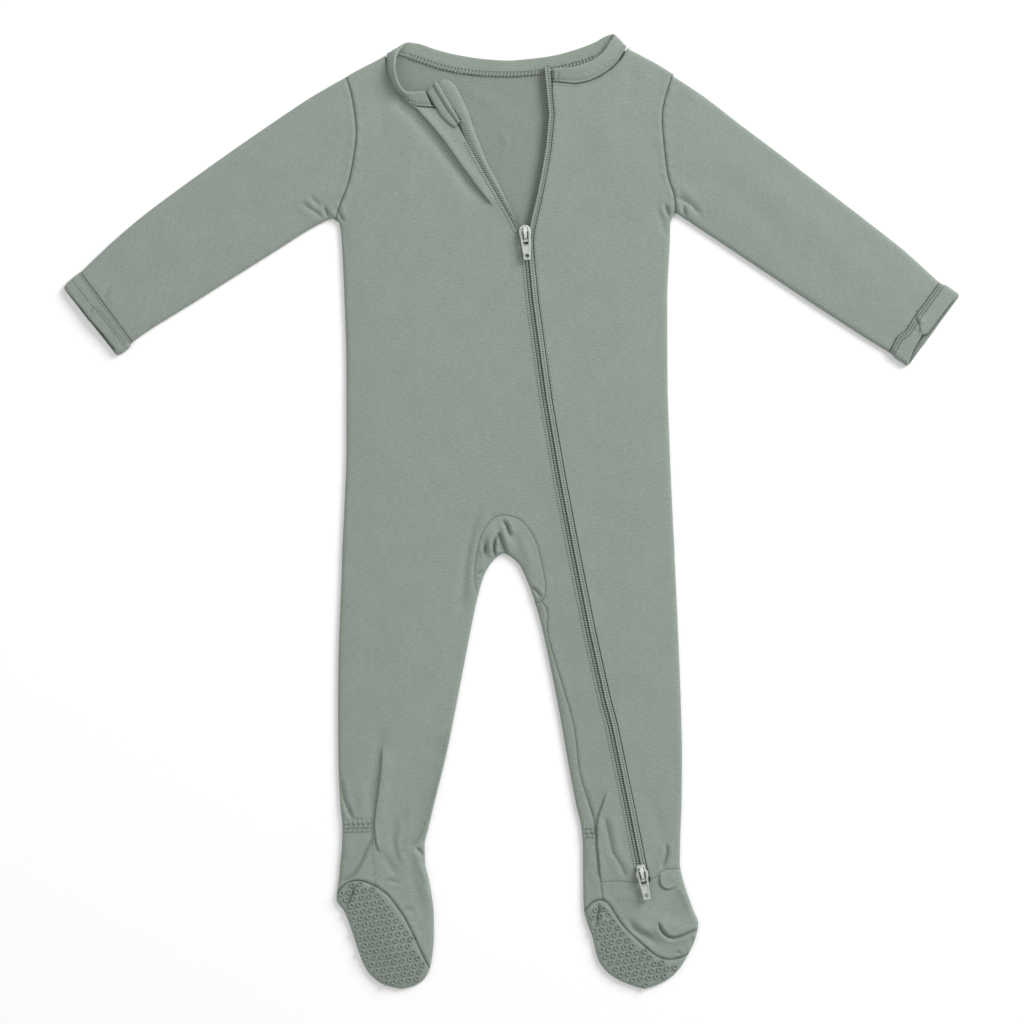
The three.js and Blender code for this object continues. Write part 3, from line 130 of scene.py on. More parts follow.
# Folds of the upper layer. soft is a ridge or trough, sharp a narrow valley with raised flanks,
# lap a step where the cloth on the left of the line's direction lies over the cloth on its right.
# kind, height mm, half width mm, line
folds = [
    ("soft", 0.5, 6.0, [(-42.0, 246.0), (-27.0, 232.0), (-12.0, 208.0), (0.0, 190.0)]),
    ("lap", 1.5, 1.0, [(-75.6, 271.6), (-73.6, 270.2), (-61.5, 261.2), (-53.7, 252.6), (-45.8, 243.2), (-39.7, 234.7),
                       (-31.9, 223.7), (-24.0, 212.8), (-16.3, 203.4), (-11.5, 197.7)]),
    ("soft", 0.7, 2.4, [(-59.5, 262.5), (-44.0, 244.6), (-30.0, 225.3), (-15.0, 205.0)]),
    ("soft", -1.2, 3.4, [(-76.0, 266.0), (-64.6, 256.4), (-49.6, 240.0), (-36.0, 222.4), (-24.0, 206.0)]),
    ("soft", -1.1, 3.2, [(-20.5, -1.0), (-25.4, -12.0), (-28.0, -24.2), (-30.7, -44.3), (-32.5, -66.0)]),
    ("soft", 0.7, 2.6, [(-17.0, -2.0), (-24.0, -17.0), (-26.6, -36.0), (-27.2, -56.0)]),
    ("sharp", 1.6, 1.1, [(-16.4, -20.0), (-17.0, -29.0)]),
    ("sharp", 2.4, 0.9, [(-10.0, -31.0), (-11.2, -25.6), (-11.3, -20.5), (-10.1, -17.6), (-7.3, -14.8)]),
    ("sharp", 2.4, 0.9, [(-8.0, -12.6), (-7.0, -17.0), (-5.6, -20.8), (-4.0, -25.1), (-1.6, -30.6)]),
    ("soft", 1.2, 1.7, [(-15.2, -27.0), (-14.4, -17.6), (-10.2, -12.9), (-6.2, -12.4), (-4.7, -7.9)]),
    ("sharp", 2.0, 1.1, [(-6.6, -5.4), (-2.9, -8.4), (-1.8, -12.4), (0.4, -17.4)]),
    ("sharp", 1.2, 0.9, [(11.6, -47.2), (16.8, -52.2), (21.2, -57.0)]),
    ("soft", -2.0, 1.9, [(-7.8, -15.0), (-6.6, -21.0), (-6.6, -27.5)]),
    ("soft", 1.3, 1.6, [(-14.0, -27.0), (-13.4, -20.0), (-10.6, -14.6)]),
    ("soft", 1.0, 2.0, [(-2.6, -17.0), (1.6, -25.0)]),
    ("sharp", 1.0, 1.0, [(-22.8, -41.1), (-16.9, -38.7)]),
    ("sharp", 0.8, 1.0, [(19.8, -56.9), (16.9, -60.1)]),
    ("soft", 0.6, 3.0, [(4.0, -12.0), (10.0, -24.0), (14.0, -40.0)]),
    ("soft", 0.7, 2.5, [(-12.0, -10.0), (-17.0, -24.0), (-19.5, -42.0)]),
    # left ankle and foot
    ("lap", 1.3, 1.0, [(-83.9, -152.5), (-84.6, -168.4), (-86.2, -180.2), (-87.6, -190.8), (-88.9, -201.0),
                       (-88.6, -209.7), (-87.2, -217.6), (-84.6, -222.6)]),
    ("soft", -0.9, 3.2, [(-84.6, -140.0), (-87.6, -160.0), (-90.6, -180.0), (-92.0, -194.0)]),
    ("soft", 0.8, 3.0, [(-80.6, -160.0), (-83.0, -184.0), (-84.6, -204.0)]),
    ("soft", -0.4, 1.5, [(-91.6, -181.9), (-91.6, -195.8)]),
    ("sharp", 1.2, 1.2, [(-110.7, -173.9), (-109.2, -185.8), (-106.0, -193.5), (-102.7, -201.2)]),
    ("lap", 1.8, 0.9, [(-62.6, -218.6), (-58.6, -209.6), (-55.3, -200.3), (-49.9, -180.6), (-45.2, -160.3), (-41.6, -140.0)]),
    ("soft", 0.8, 5.0, [(-99.0, -176.0), (-96.5, -196.0)]),
    ("sharp", 1.4, 1.2, [(-89.4, -212.0), (-94.0, -219.6), (-98.0, -229.0), (-102.5, -236.4), (-110.0, -241.5)]),
    ("soft", 0.7, 5.0, [(-104.0, -214.0), (-108.0, -226.0)]),
    ("sharp", 1.5, 1.1, [(-62.4, -217.6), (-59.1, -220.9), (-55.4, -225.2)]),
    ("soft", 1.1, 1.8, [(-62.8, -221.6), (-58.4, -231.4), (-53.4, -242.6)]),
    ("soft", 0.7, 5.0, [(-61.4, -228.5), (-55.4, -242.1), (-51.4, -253.2)]),
    ("soft", -0.6, 3.0, [(-66.0, -228.0), (-62.0, -246.0), (-57.0, -262.0)]),
    ("soft", 0.8, 1.6, [(-72.0, -200.0), (-71.5, -206.7), (-73.4, -211.7), (-73.8, -216.7), (-70.9, -225.6),
                        (-67.9, -229.6)]),
    ("soft", -0.7, 2.6, [(-76.0, -199.0), (-77.0, -212.0), (-74.5, -226.0)]),
    ("soft", 0.6, 4.0, [(-64.5, -186.0), (-67.0, -206.0), (-69.0, -224.0)]),
    ("soft", -0.9, 2.4, [(-84.0, -222.0), (-79.0, -230.0), (-73.0, -238.5)]),
    ("sharp", 0.6, 1.2, [(-81.5, -239.3), (-70.9, -241.6)]),
    ("sharp", 0.5, 1.2, [(-70.9, -258.4), (-65.7, -258.4), (-61.8, -260.3)]),
    ("sharp", 1.3, 1.2, [(-102.0, -241.3), (-103.0, -248.2), (-108.5, -258.4)]),
    ("soft", 1.0, 13.0, [(-82.0, -262.0), (-72.0, -292.0)]),
    # right ankle and foot
    ("lap", 1.3, 1.1, [(62.6, -181.0), (59.2, -190.8), (56.6, -198.3), (55.6, -205.7), (55.8, -217.0),
                       (56.9, -225.9), (58.0, -241.0)]),
    ("soft", -0.7, 1.6, [(48.8, -182.5), (53.6, -201.2)]),
    ("soft", 0.8, 4.0, [(66.0, -196.0), (68.0, -214.0), (70.0, -232.0)]),
    ("sharp", 0.9, 1.5, [(60.8, -197.9), (63.3, -209.0), (65.8, -220.9), (71.8, -231.1), (75.2, -238.9)]),
    ("soft", 0.7, 4.0, [(51.0, -214.0), (51.0, -234.0)]),
    ("soft", -0.5, 2.4, [(48.8, -214.8), (48.1, -235.0), (51.4, -245.4)]),
    ("sharp", 1.4, 1.1, [(101.1, -215.0), (101.5, -221.5), (100.8, -225.9), (97.4, -233.2)]),
    ("lap", 1.2, 1.0, [(97.2, -232.8), (96.3, -237.9), (96.9, -242.4), (99.6, -245.6), (104.5, -245.4),
                       (108.5, -242.0)]),
    ("soft", 0.9, 3.0, [(101.5, -238.0), (107.0, -237.0)]),
    ("lap", 1.0, 1.1, [(118.5, -258.5), (112.8, -248.8), (108.2, -241.0)]),
    ("soft", -0.5, 4.0, [(91.7, -187.5), (96.5, -206.4), (99.0, -216.8)]),
    ("soft", -0.4, 4.0, [(105.3, -157.0), (106.0, -171.3), (108.8, -187.5)]),
    ("soft", 0.6, 3.0, [(108.7, -241.3), (112.6, -249.0), (116.0, -254.9), (119.0, -264.2)]),
    ("soft", -2.0, 2.0, [(76.5, -266.6), (82.0, -273.1), (89.5, -276.9), (95.0, -281.4)]),
    ("soft", 0.8, 2.8, [(80.0, -265.5), (86.0, -270.0), (93.0, -273.5)]),
    ("sharp", 2.0, 0.9, [(95.2, -265.8), (97.4, -272.0), (100.4, -275.6), (105.2, -277.8), (110.5, -276.3),
                         (116.5, -273.7), (122.5, -271.4), (127.0, -270.0)]),
    ("soft", 0.9, 3.5, [(97.0, -266.5), (103.0, -271.5), (112.0, -269.0)]),
    ("soft", -0.5, 4.0, [(83.9, -260.3), (89.7, -259.0), (104.9, -261.0), (111.8, -266.0)]),
    ("soft", 0.5, 3.0, [(68.2, -252.3), (74.8, -249.0), (84.0, -252.4)]),
    ("sharp", 0.8, 1.2, [(116.3, -274.0), (118.4, -279.9), (116.6, -287.0)]),
    ("sharp", 1.0, 0.9, [(107.0, -286.6), (109.0, -286.0), (111.0, -288.4)]),
    ("sharp", 1.4, 1.3, [(57.2, -253.6), (56.6, -263.4), (54.6, -271.4)]),
    ("sharp", 0.8, 1.1, [(59.5, -257.0), (60.6, -262.5)]),
    ("sharp", 0.4, 1.2, [(61.1, -257.7), (64.4, -265.5)]),
    ("soft", 1.0, 13.0, [(86.0, -256.0), (94.0, -276.0)]),
    # underarms
    ("sharp", 1.4, 1.2, [(-121.8, 199.0), (-118.3, 190.4)]),
    ("sharp", 1.3, 1.1, [(-113.0, 196.0), (-108.5, 187.8)]),
    ("soft", -0.5, 2.2, [(-109.0, 184.6), (-106.5, 168.0)]),
    ("sharp", 0.8, 1.5, [(-137.2, 201.2), (-128.1, 195.3), (-121.0, 190.5)]),
    ("sharp", 0.8, 1.4, [(-131.3, 205.8), (-122.9, 197.0)]),
    ("soft", 0.7, 4.0, [(-112.0, 210.0), (-125.0, 203.0)]),
    ("sharp", 1.4, 1.2, [(99.8, 201.0), (101.4, 195.6), (103.7, 190.4)]),
    ("soft", -0.9, 2.0, [(95.5, 198.6), (97.3, 190.8), (102.0, 176.5)]),
    ("sharp", 1.3, 1.2, [(112.2, 199.6), (113.1, 191.1)]),
    ("sharp", 0.8, 1.5, [(107.2, 205.1), (116.4, 199.9), (124.2, 192.1)]),
    ("soft", 0.7, 4.0, [(108.0, 212.0), (121.0, 205.0)]),
    # cuffs: mitten flap of the right one, the left one's own seam
    ("lap", 0.9, 1.0, [(262.6, 129.6), (265.6, 121.0), (268.8, 111.4)]),
    ("sharp", 0.6, 0.8, [(262.9, 124.6), (268.0, 119.6)]),
    ("sharp", 0.5, 0.8, [(262.0, 118.2), (265.4, 115.2)]),
    ("sharp", 0.6, 0.8, [(-270.4, 134.2), (-272.6, 131.2), (-275.4, 126.6)]),
    # sleeves, shoulders and neck
    ("sharp", 0.6, 1.3, [(-259.4, 147.8), (-264.0, 139.6), (-266.6, 136.4)]),
    ("soft", 0.5, 9.0, [(-150.0, 228.0), (-190.0, 196.0), (-230.0, 160.0)]),
    ("soft", -0.4, 8.0, [(-130.0, 226.0), (-176.0, 186.0)]),
    ("soft", 0.5, 9.0, [(146.0, 226.0), (190.0, 192.0), (228.0, 158.0)]),
    ("soft", -0.4, 8.0, [(128.0, 222.0), (172.0, 184.0)]),
    ("soft", -0.4, 5.0, [(-80.0, 276.5), (-84.5, 262.8), (-82.0, 240.7)]),
    ("soft", -0.4, 4.0, [(77.4, 290.2), (78.7, 278.5), (75.7, 262.8)]),
    ("soft", 0.4, 8.0, [(-60.0, 244.0), (-70.0, 200.0)]),
    ("soft", 0.4, 9.0, [(60.0, 258.0), (66.0, 210.0)]),
]
# Folds of the layer underneath, which lies on the table: they lift it a little
backFolds = [
    ("soft", 0.5, 7.0, [(-60.0, 250.0), (-20.0, 170.0), (-14.0, 90.0)]),
    ("soft", 0.4, 6.0, [(70.0, 220.0), (40.0, 130.0)]),
    ("soft", 0.5, 6.0, [(-70.0, 20.0), (-76.0, -90.0)]),
    ("soft", 0.5, 6.0, [(66.0, 0.0), (74.0, -110.0)]),
    ("soft", 0.5, 5.0, [(-150.0, 220.0), (-215.0, 160.0)]),
    ("soft", 0.5, 5.0, [(150.0, 216.0), (215.0, 160.0)]),
    ("soft", 0.6, 4.0, [(-88.0, -190.0), (-84.0, -240.0)]),
    ("soft", 0.6, 4.0, [(70.0, -200.0), (78.0, -250.0)]),
    ("soft", 0.5, 2.2, [(-7.5, 247.3), (-3.2, 241.5), (-3.9, 235.3), (-8.7, 226.9)]),
    ("soft", 0.4, 2.0, [(4.5, 240.2), (-2.6, 234.3)]),
    ("soft", 0.4, 4.0, [(-31.2, 276.2), (-20.2, 268.8), (-7.2, 264.9)]),
]
# Elastic drawn in at the back of each ankle: x from, x to, y from, y to, mm
gathers = [(-109.5, -91.0, -209.0, -199.0), (46.0, 55.5, -213.5, -204.5)]


def smoothThrough(pairs):  # a curve through (position, value) pairs that never passes beyond their values
    knots = np.array(sorted(pairs), float)
    places, values = knots[:, 0], knots[:, 1]
    slopes = np.diff(values) / np.diff(places)
    before, after = np.append(slopes[:1], slopes), np.append(slopes, slopes[-1:])
    product = before * after
    tangents = np.divide(2 * product, before + after, out=np.zeros_like(product), where=product > 0)

    def curve(position):
        position = np.asarray(position, float)
        i = np.clip(np.searchsorted(places, position, side="right") - 1, 0, len(slopes) - 1)
        span = places[i + 1] - places[i]
        t = (position - places[i]) / span
        bend = t * t * (3 - 2 * t)
        ends = values[i] * (1 - bend) + values[i + 1] * bend
        return ends + span * (tangents[i] * t * (1 - t) ** 2 - tangents[i + 1] * t * t * (1 - t))

    return curve


def smoothRows(rows, extra):  # table rows with smooth rows between them
    rows = np.array(rows, float)
    places = np.linspace(0, len(rows) - 1, (len(rows) - 1) * (extra + 1) + 1)
    return np.column_stack([smoothThrough(list(enumerate(column)))(places) for column in rows.T])


def resample(line, step):
    line = np.array(line, float)
    along = np.append(0, np.cumsum(np.hypot(*np.diff(line, axis=0).T[:2])))
    count = max(1, round(along[-1] / step))
    places = np.linspace(0, along[-1], count + 1)
    return np.column_stack([np.interp(places, along, column) for column in line.T])


def offsetLine(line, distance):  # to the right of its direction when the distance is positive
    line = np.array(line, float)
    before, after = line[np.maximum(np.arange(len(line)) - 1, 0)], line[np.minimum(np.arange(len(line)) + 1, len(line) - 1)]
    along = after - before
    along /= np.hypot(*along.T)[:, None]
    return line + np.column_stack([along[:, 1], -along[:, 0]]) * distance


def nearest(points, line, reach=None):  # distance, signed side (left is positive) and length along the line
    points, line = np.asarray(points, float), np.asarray(line, float)
    distance = np.full(len(points), 1e6)
    side, along = np.ones(len(points)), np.zeros(len(points))
    wanted = np.arange(len(points))
    if reach is not None:
        low, high = line.min(axis=0) - reach, line.max(axis=0) + reach
        wanted = np.nonzero(((points > low) & (points < high)).all(axis=1))[0]
    starts, steps = line[:-1], np.diff(line, axis=0)
    lengths = np.maximum(np.hypot(*steps.T), 1e-9)
    before = np.append(0, np.cumsum(lengths)[:-1])
    for chunk in np.array_split(wanted, max(1, len(wanted) * len(steps) // 2_000_000)):
        rest = points[chunk, None, :] - starts
        t = np.clip((rest * steps).sum(-1) / lengths**2, 0, 1)
        away = np.hypot(*np.moveaxis(rest - t[..., None] * steps, -1, 0))
        best, rows = away.argmin(axis=1), np.arange(len(chunk))
        distance[chunk] = away[rows, best]
        cross = steps[best, 0] * rest[rows, best, 1] - steps[best, 1] * rest[rows, best, 0]
        side[chunk] = np.where(cross >= 0, 1, -1)
        along[chunk] = before[best] + t[rows, best] * lengths[best]
    return distance, side, along


def hump(distance, width):
    return np.exp(-((distance / width) ** 2))


leftOuter, leftInner, rightInner, rightOuter = (
    smoothThrough([(row[0], row[column]) for row in bodyTable if row[column] is not None]) for column in (1, 2, 3, 4))


def sideLine(curve, fromY, toY):
    y = np.linspace(fromY, toY, 400)
    return np.column_stack([curve(y), y])




def roundedEnd(rows, radius):  # a tube's rows with its last two corners rounded
    upper, low = np.array(rows[-1][:2]), np.array(rows[-1][2:])
    across = (low - upper) / np.hypot(*(low - upper))
    out = (np.array(rows[-1]) - np.array(rows[-2])).reshape(2, 2).mean(axis=0)
    out /= np.hypot(*out)
    ends = []
    for turn in np.radians([0, 22, 45, 68, 90]):
        back, inward = out * radius * (1 - math.sin(turn)), across * radius * (1 - math.cos(turn))
        ends.append((*(upper - back + inward), *(low - back - inward)))
    return np.vstack([rows[:-1], ends])


def overhung(rows, depth, upperBy, lowBy):
    rows = np.array(rows, float)
    middle = (rows[:, :2] + rows[:, 2:]) / 2
    left = np.hypot(*(middle - middle[-1]).T)
    wanted = np.sort(np.append(left, depth - np.array([0, 0.3, 0.7, 1.2, 1.8])))[::-1]
    rows = np.column_stack([np.interp(-wanted, -left, column) for column in rows.T])
    out = np.sqrt(np.clip((depth - wanted) / 1.8, 0, 1))[:, None]
    across = rows[:, 2:] - rows[:, :2]
    across /= np.hypot(*across.T)[:, None]
    return np.column_stack([rows[:, :2] - across * out * upperBy, rows[:, 2:] + across * out * lowBy])


leftTube = roundedEnd(overhung(smoothRows(sleeveLeft[1:] + cuffLeft, 3)[:-2].tolist() + [list(cuffLeft[-1])],
                               13.0, 0.5, 1.3), 2.6)
rightTube = roundedEnd(overhung(smoothRows(sleeveRight[1:] + cuffRight, 3)[:-2].tolist() + [list(cuffRight[-1])],
                                13.0, 1.2, 0.8), 2.4)
step = cloth["lineStep"]
topLeft = resample(np.vstack([sideLine(leftOuter, 297.5, 284), leftTube[:, :2]]), step)
topRight = resample(np.vstack([sideLine(rightOuter, 303, 284), rightTube[:, :2]]), step)
lower = resample(np.vstack([
    leftTube[::-1, 2:], sideLine(leftOuter, underarmY, toeY), sideLine(leftInner, toeY, crotch[1]),
    sideLine(rightInner, crotch[1], toeY), sideLine(rightOuter, toeY, underarmY), rightTube[:, 2:]]), step)
silhouette = [topLeft, lower, topRight]  # where the cloth turns under: neck and cuff ends are left out
leftEdge = offsetLine([*zipLeftOpen[3:], *zipClosed, zipEnd, zipSlitEnd], faceLeft)
rightEdge = offsetLine([*zipRightOpen, *zipClosed, zipEnd, zipSlitEnd], -faceRight)[::-1]
opening = np.vstack([neckFrontLeft, [(-38.4, 257.6)], leftEdge, rightEdge[rightEdge[:, 1] < 276], neckFrontRight])
zipLines = [np.array([*zipLeftOpen, *zipClosed, zipEnd]), np.array(zipRightOpen)]


def toSides(points):
    return np.min([nearest(points, line)[0] for line in silhouette], axis=0)


def foldHeights(points, table):
    total = np.zeros(len(points))
    for kind, height, width, line in table:
        line = resample(line, 3.0)
        distance, side, along = nearest(points, line, 7 * width + 6)
        length = np.hypot(*np.diff(line, axis=0).T).sum()
        ends = np.clip(np.minimum(along, length - along) / min(4.5 if kind == "sharp" else 7, length / 3), 0, 1)
        taper = ends * ends * (3 - 2 * ends)
        if kind == "soft":
            total += height * hump(distance, width) * (0.35 + 0.65 * taper)
        elif kind == "sharp":
            flank = 0.42 * hump(distance - 2.4 * width, 1.6 * width)
            total += height * (flank - np.exp(-((distance / width) ** 1.4))) * taper
        else:
            over = np.where(side > 0, 1.0, -0.55)
            total += height * over * np.exp(-distance / (4 * width)) * np.clip(distance / 0.5, 0, 1) * taper
    return total


def paintedCreaseShade(points):  # painted shade at the bottom of each sharp crease and along each lap
    tone = np.zeros(len(points))
    for kind, height, width, line in folds:
        if kind == "soft":
            continue
        line = resample(line, 3.0)
        distance, _, along = nearest(points, line, 4)
        length = np.hypot(*np.diff(line, axis=0).T).sum()
        ends = np.clip(np.minimum(along, length - along) / min(5, length / 3), 0, 1)
        tone = np.maximum(tone, cloth["creaseShade"] * min(1, height / 1.6) * hump(distance, 0.55) * ends)
    return tone


def gatherHeights(points):
    total = np.zeros(len(points))
    for x0, x1, y0, y1 in gathers:
        inside = np.clip(1.2 - np.abs(points[:, 1] - (y0 + y1) / 2) / (y1 - y0) * 2, 0, 1)
        inside *= np.clip(np.minimum(points[:, 0] - x0, x1 - points[:, 0]) / 1.5 + 0.6, 0, 1)
        total += inside * 0.45 * np.sin(points[:, 0] * 2 * math.pi / 3.1 + 1.3 * np.sin(points[:, 1] * 0.9))
    return total


def rounded(line, size=5):  # a smooth line through the same points
    line = np.array(line, float)
    before, after = np.vstack([2 * line[0] - line[1], line[:-2]]), np.vstack([line[2:], 2 * line[-1] - line[-2]])
    points = []
    for p0, p1, p2, p3 in zip(before, line[:-1], line[1:], after):
        for t in np.arange(size) / size:
            points.append(0.5 * (2 * p1 + (p2 - p0) * t + (2 * p0 - 5 * p1 + 4 * p2 - p3) * t**2
                                 + (3 * p1 - p0 - 3 * p2 + p3) * t**3))
    return np.array([*points, line[-1]])


seamLines = {name: resample(line if name.startswith(("hem", "heel")) else rounded(line), step)
             for name, line in seams.items()}


def upperHeights(points, lift=0.0, fine=True):  # outer face of the upper layer, mm
    points = np.asarray(points, float)
    away = toSides(points)
    height = cloth["pileLow"] + cloth["pileRise"] * (1 - np.exp(-away / cloth["pileReach"]))
    height += 0.4 * hump(np.min([nearest(points, line)[0] for line in zipLines], axis=0), 9)
    shape = foldHeights(points, folds)
    waves = cloth["drift"] * np.array([noise.fractal((x / 46, y / 60, 1.7), 0.8, 2.1, 3) for x, y in points])
    waves += 0.1 * np.array([noise.noise((x / 7, y / 15, 4.2)) for x, y in points])
    if fine:
        for name, line in seamLines.items():
            if name.startswith("hem"):
                continue
            distance, side, along = nearest(points, line, 8)
            pucker = 1 + 0.8 * np.sin(along / 1.35 + 1.7 * np.sin(along / 5.3))
            strength = cloth["seamStrength"].get(name, 1)
            shape += strength * (cloth["seamPuff"] * hump(distance - 2.2, 1.3) * pucker
                                 - cloth["seamDip"] * hump(distance, 0.8))
    height += waves * np.clip(away / 9, 0, 1) + (shape + gatherHeights(points)) * np.clip(away / 1.8, 0, 1)
    height = np.maximum(height, 2 * cloth["thickness"] + 0.3) + lift
    u = np.clip(away / cloth["edgeRadius"], 0, 1)
    return cloth["edgeHeight"] + (height - cloth["edgeHeight"]) * np.sqrt(1 - (1 - u) ** 2)


def lowerHeights(points):  # outer face of the layer underneath, mm
    away = toSides(points)
    u = np.clip(away / cloth["edgeRadius"], 0, 1)
    raised = np.maximum(foldHeights(points, backFolds), 0) * np.clip((away - 3) / 9, 0, 1)
    return cloth["edgeHeight"] * (1 - np.sqrt(1 - (1 - u) ** 2)) + raised


# One triangulation of the plan serves both layers: seams are its fixed edges
def planMesh():
    points, edges, kinds = [], [], []

    def addLine(line, kind):
        first = len(points)
        points.extend(map(tuple, line))
        edges.extend((first + i, first + i + 1) for i in range(len(line) - 1))
        kinds.extend([kind] * (len(line) - 1))

    loop = np.vstack([topLeft, lower, topRight[::-1]])
    addLine(np.vstack([loop, loop[:1]]), "side")
    for name, line in seamLines.items():
        addLine(line, name)
    addLine(resample(opening, step), "opening")
    addLine(resample(neckBack, step), "neckBack")
    addLine(resample(cuffEndLeft, step), "cuffEnd")
    addLine(resample(cuffEndRight, step), "cuffEnd")
    fixed = np.array(points)
    detail = list(seamLines.values())
    detail += [resample(line, step) for kind, _, _, line in folds if kind != "soft"]
    rows = [topLeft, lower, topRight]
    extra = []
    for line in rows:
        for distance in (0.15, 0.5, 1.1, 1.9, 2.9):
            moved = np.vstack([offsetLine(line, distance), offsetLine(line, -distance)])
            extra.append(moved[toSides(moved) > distance * 0.9])
    for line in detail + [resample(opening, step), resample(neckBack, step)]:
        for distance in (0.45, 1.0, 1.8, 2.9):
            extra += [offsetLine(line, distance), offsetLine(line, -distance)]
        extra.append(line)
    for line in (cuffEndLeft, cuffEndRight):
        extra += [offsetLine(resample(line, step), way * distance) for distance in np.arange(0.4, 7, 0.55) for way in (-1, 1)]
    for x0, x1, y0, y1 in gathers:
        extra.append(np.array([(x, y) for x in np.arange(x0, x1, 0.62) for y in np.arange(y0 - 2, y1 + 2, 0.9)]))
    fineBoxes = [(-125, -40, -320, -150), (35, 130, -320, -180), (-145, -90, 165, 225), (88, 140, 165, 225),
                 (-40, 25, -66, 12), (-90, 85, 225, 310)]

    def field(spacing, keep):
        across = np.arange(-300, 300, spacing)
        grid = np.array([(x + (j % 2) * spacing / 2, y) for j, y in enumerate(np.arange(-314, 312, spacing * 0.87))
                         for x in across])
        return grid[keep(grid)]

    def inBoxes(grid):
        return np.any([(grid[:, 0] > a) & (grid[:, 0] < b) & (grid[:, 1] > c) & (grid[:, 1] < d)
                       for a, b, c, d in fineBoxes], axis=0)

    extra.append(field(cloth["fineStep"], inBoxes))
    extra.append(field(cloth["fieldStep"], lambda grid: ~inBoxes(grid)))
    taken = {}

    def free(x, y, room):  # no other point within the room
        i, j = int(x // 0.8), int(y // 0.8)
        for a in (i - 1, i, i + 1):
            for b in (j - 1, j, j + 1):
                for u, v in taken.get((a, b), ()):
                    if (u - x) ** 2 + (v - y) ** 2 < room * room:
                        return False
        taken.setdefault((i, j), []).append((x, y))
        return True

    for x, y in fixed:
        free(x, y, 0)
    inside = insideLoop(np.vstack(extra), loop)
    start = 0
    for index, block in enumerate(extra):
        room = 0.36 if index < len(extra) - 2 else 0.75
        for (x, y), isIn in zip(block, inside[start:start + len(block)]):
            if isIn and free(x, y, room):
                points.append((x, y))
        start += len(block)
    found = delaunay_2d_cdt([Vector(p) for p in points], edges, [], 0, 1e-5)
    plan = np.array([tuple(p) for p in found[0]])
    edgeKind = {}
    for (a, b), origin in zip(found[1], found[4]):
        if origin:
            edgeKind[(min(a, b), max(a, b))] = {kinds[k] for k in origin if k < len(kinds)}
    return plan, np.array(found[2]), edgeKind


def insideLoop(points, loop):
    inside = np.zeros(len(points), bool)
    x, y = points.T
    for (ax, ay), (bx, by) in zip(loop, np.roll(loop, -1, axis=0)):
        if ay == by:
            continue
        crossing = ((ay > y) != (by > y)) & (x < (bx - ax) * (y - ay) / (by - ay) + ax)
        inside ^= crossing
    return inside


plan, planFaces, edgeKind = planMesh()
a, b, c = (plan[planFaces[:, k]] for k in range(3))
turned = (b[:, 0] - a[:, 0]) * (c[:, 1] - a[:, 1]) - (b[:, 1] - a[:, 1]) * (c[:, 0] - a[:, 0]) < 0
planFaces[turned] = planFaces[turned][:, ::-1]
print("plan:", len(plan), "points,", len(planFaces), "faces")

edgeFaces = {}
for face, corners in enumerate(planFaces):
    for i in range(3):
        p, q = corners[i], corners[(i + 1) % 3]
        edgeFaces.setdefault((min(p, q), max(p, q)), []).append(face)


def regions(barriers):  # faces joined across every edge that isn't on one of these lines
    label = np.full(len(planFaces), -1)
    neighbours = [[] for _ in planFaces]
    for edge, both in edgeFaces.items():
        if len(both) == 2 and not edgeKind.get(edge, set()) & barriers:
            neighbours[both[0]].append(both[1])
            neighbours[both[1]].append(both[0])
    count = 0
    for first in range(len(planFaces)):
        if label[first] >= 0:
            continue
        label[first], stack = count, [first]
        while stack:
            for other in neighbours[stack.pop()]:
                if label[other] < 0:
                    label[other] = count
                    stack.append(other)
        count += 1
    return label


openEnds = {"side", "cuffEnd", "opening"}
upperLabels = regions(openEnds | set(seams))
lowerLabels = regions({"side", "neckBack", "armholeLeft", "armholeRight", "soleLeft", "soleRight", "hemLeft", "hemRight"})
centres = plan[planFaces].mean(axis=1)


def regionAt(labels, spots):  # the faces of the regions that hold these spots
    chosen = np.zeros(len(planFaces), bool)
    for spot in spots:
        chosen |= labels == labels[np.hypot(*(centres - spot).T).argmin()]
    return planFaces[chosen]


upperZ, lowerZ = upperHeights(plan), lowerHeights(plan)
planAway = toSides(plan)
for spot, name in (((-88, -280), "soleLeft"), ((75, -298), "soleRight")):  # room for the dots underneath
    onSole = np.unique(regionAt(lowerLabels, [spot]))
    inner = np.clip(nearest(plan, seamLines[name])[0] / 3, 0, 1) * np.clip((planAway - 1) / 3, 0, 1)
    lowerZ[onSole] += cloth["soleLift"] * inner[onSole]
# Painted shade, 0 to 1: along the seams, at the bottom of sharp creases and laps, and along the neck's edges. It also
# sets how wide each seam's gap is.
paintedShadeTone = np.max([paintedCreaseShade(plan)] + [cloth["seamStrength"].get(name, 1) * hump(nearest(plan, line, 10)[0], 0.55)
                   for name, line in seamLines.items()]
                  + [0.5 * hump(nearest(plan, line, 10)[0], 0.6) for line in (neckFrontLeft, neckFrontRight, neckBack)], axis=0)
onSide = np.zeros(len(plan), bool)
for (p, q), kind in edgeKind.items():
    if "side" in kind:
        onSide[[p, q]] = True
sideSeams = [(-140, 140, -59.2, 320), (-140, -95, -170.7, -58), (-75, -15, -298.5, -58), (95, 140, -288.1, -58)]
sewnSide = onSide & np.any([(plan[:, 0] > x0) & (plan[:, 0] < x1) & (plan[:, 1] > y0) & (plan[:, 1] < y1)
                            for x0, x1, y0, y1 in sideSeams], axis=0)
print("heights: up to", round(float(upperZ.max()), 2), "mm")


def srgb(code):
    channels = [int(code[i:i + 2], 16) / 255 for i in (1, 3, 5)]
    return tuple(v / 12.92 if v <= 0.04045 else ((v + 0.055) / 1.055) ** 2.4 for v in channels) + (1.0,)


def node(tree, kind, inputs=None, **settings):
    made = tree.nodes.new("ShaderNode" + kind)
    for key, value in settings.items():
        setattr(made, key, value)
    for key, value in (inputs or {}).items():
        if isinstance(value, bpy.types.NodeSocket):
            tree.links.new(value, made.inputs[key])
        else:
            made.inputs[key].default_value = value
    return made


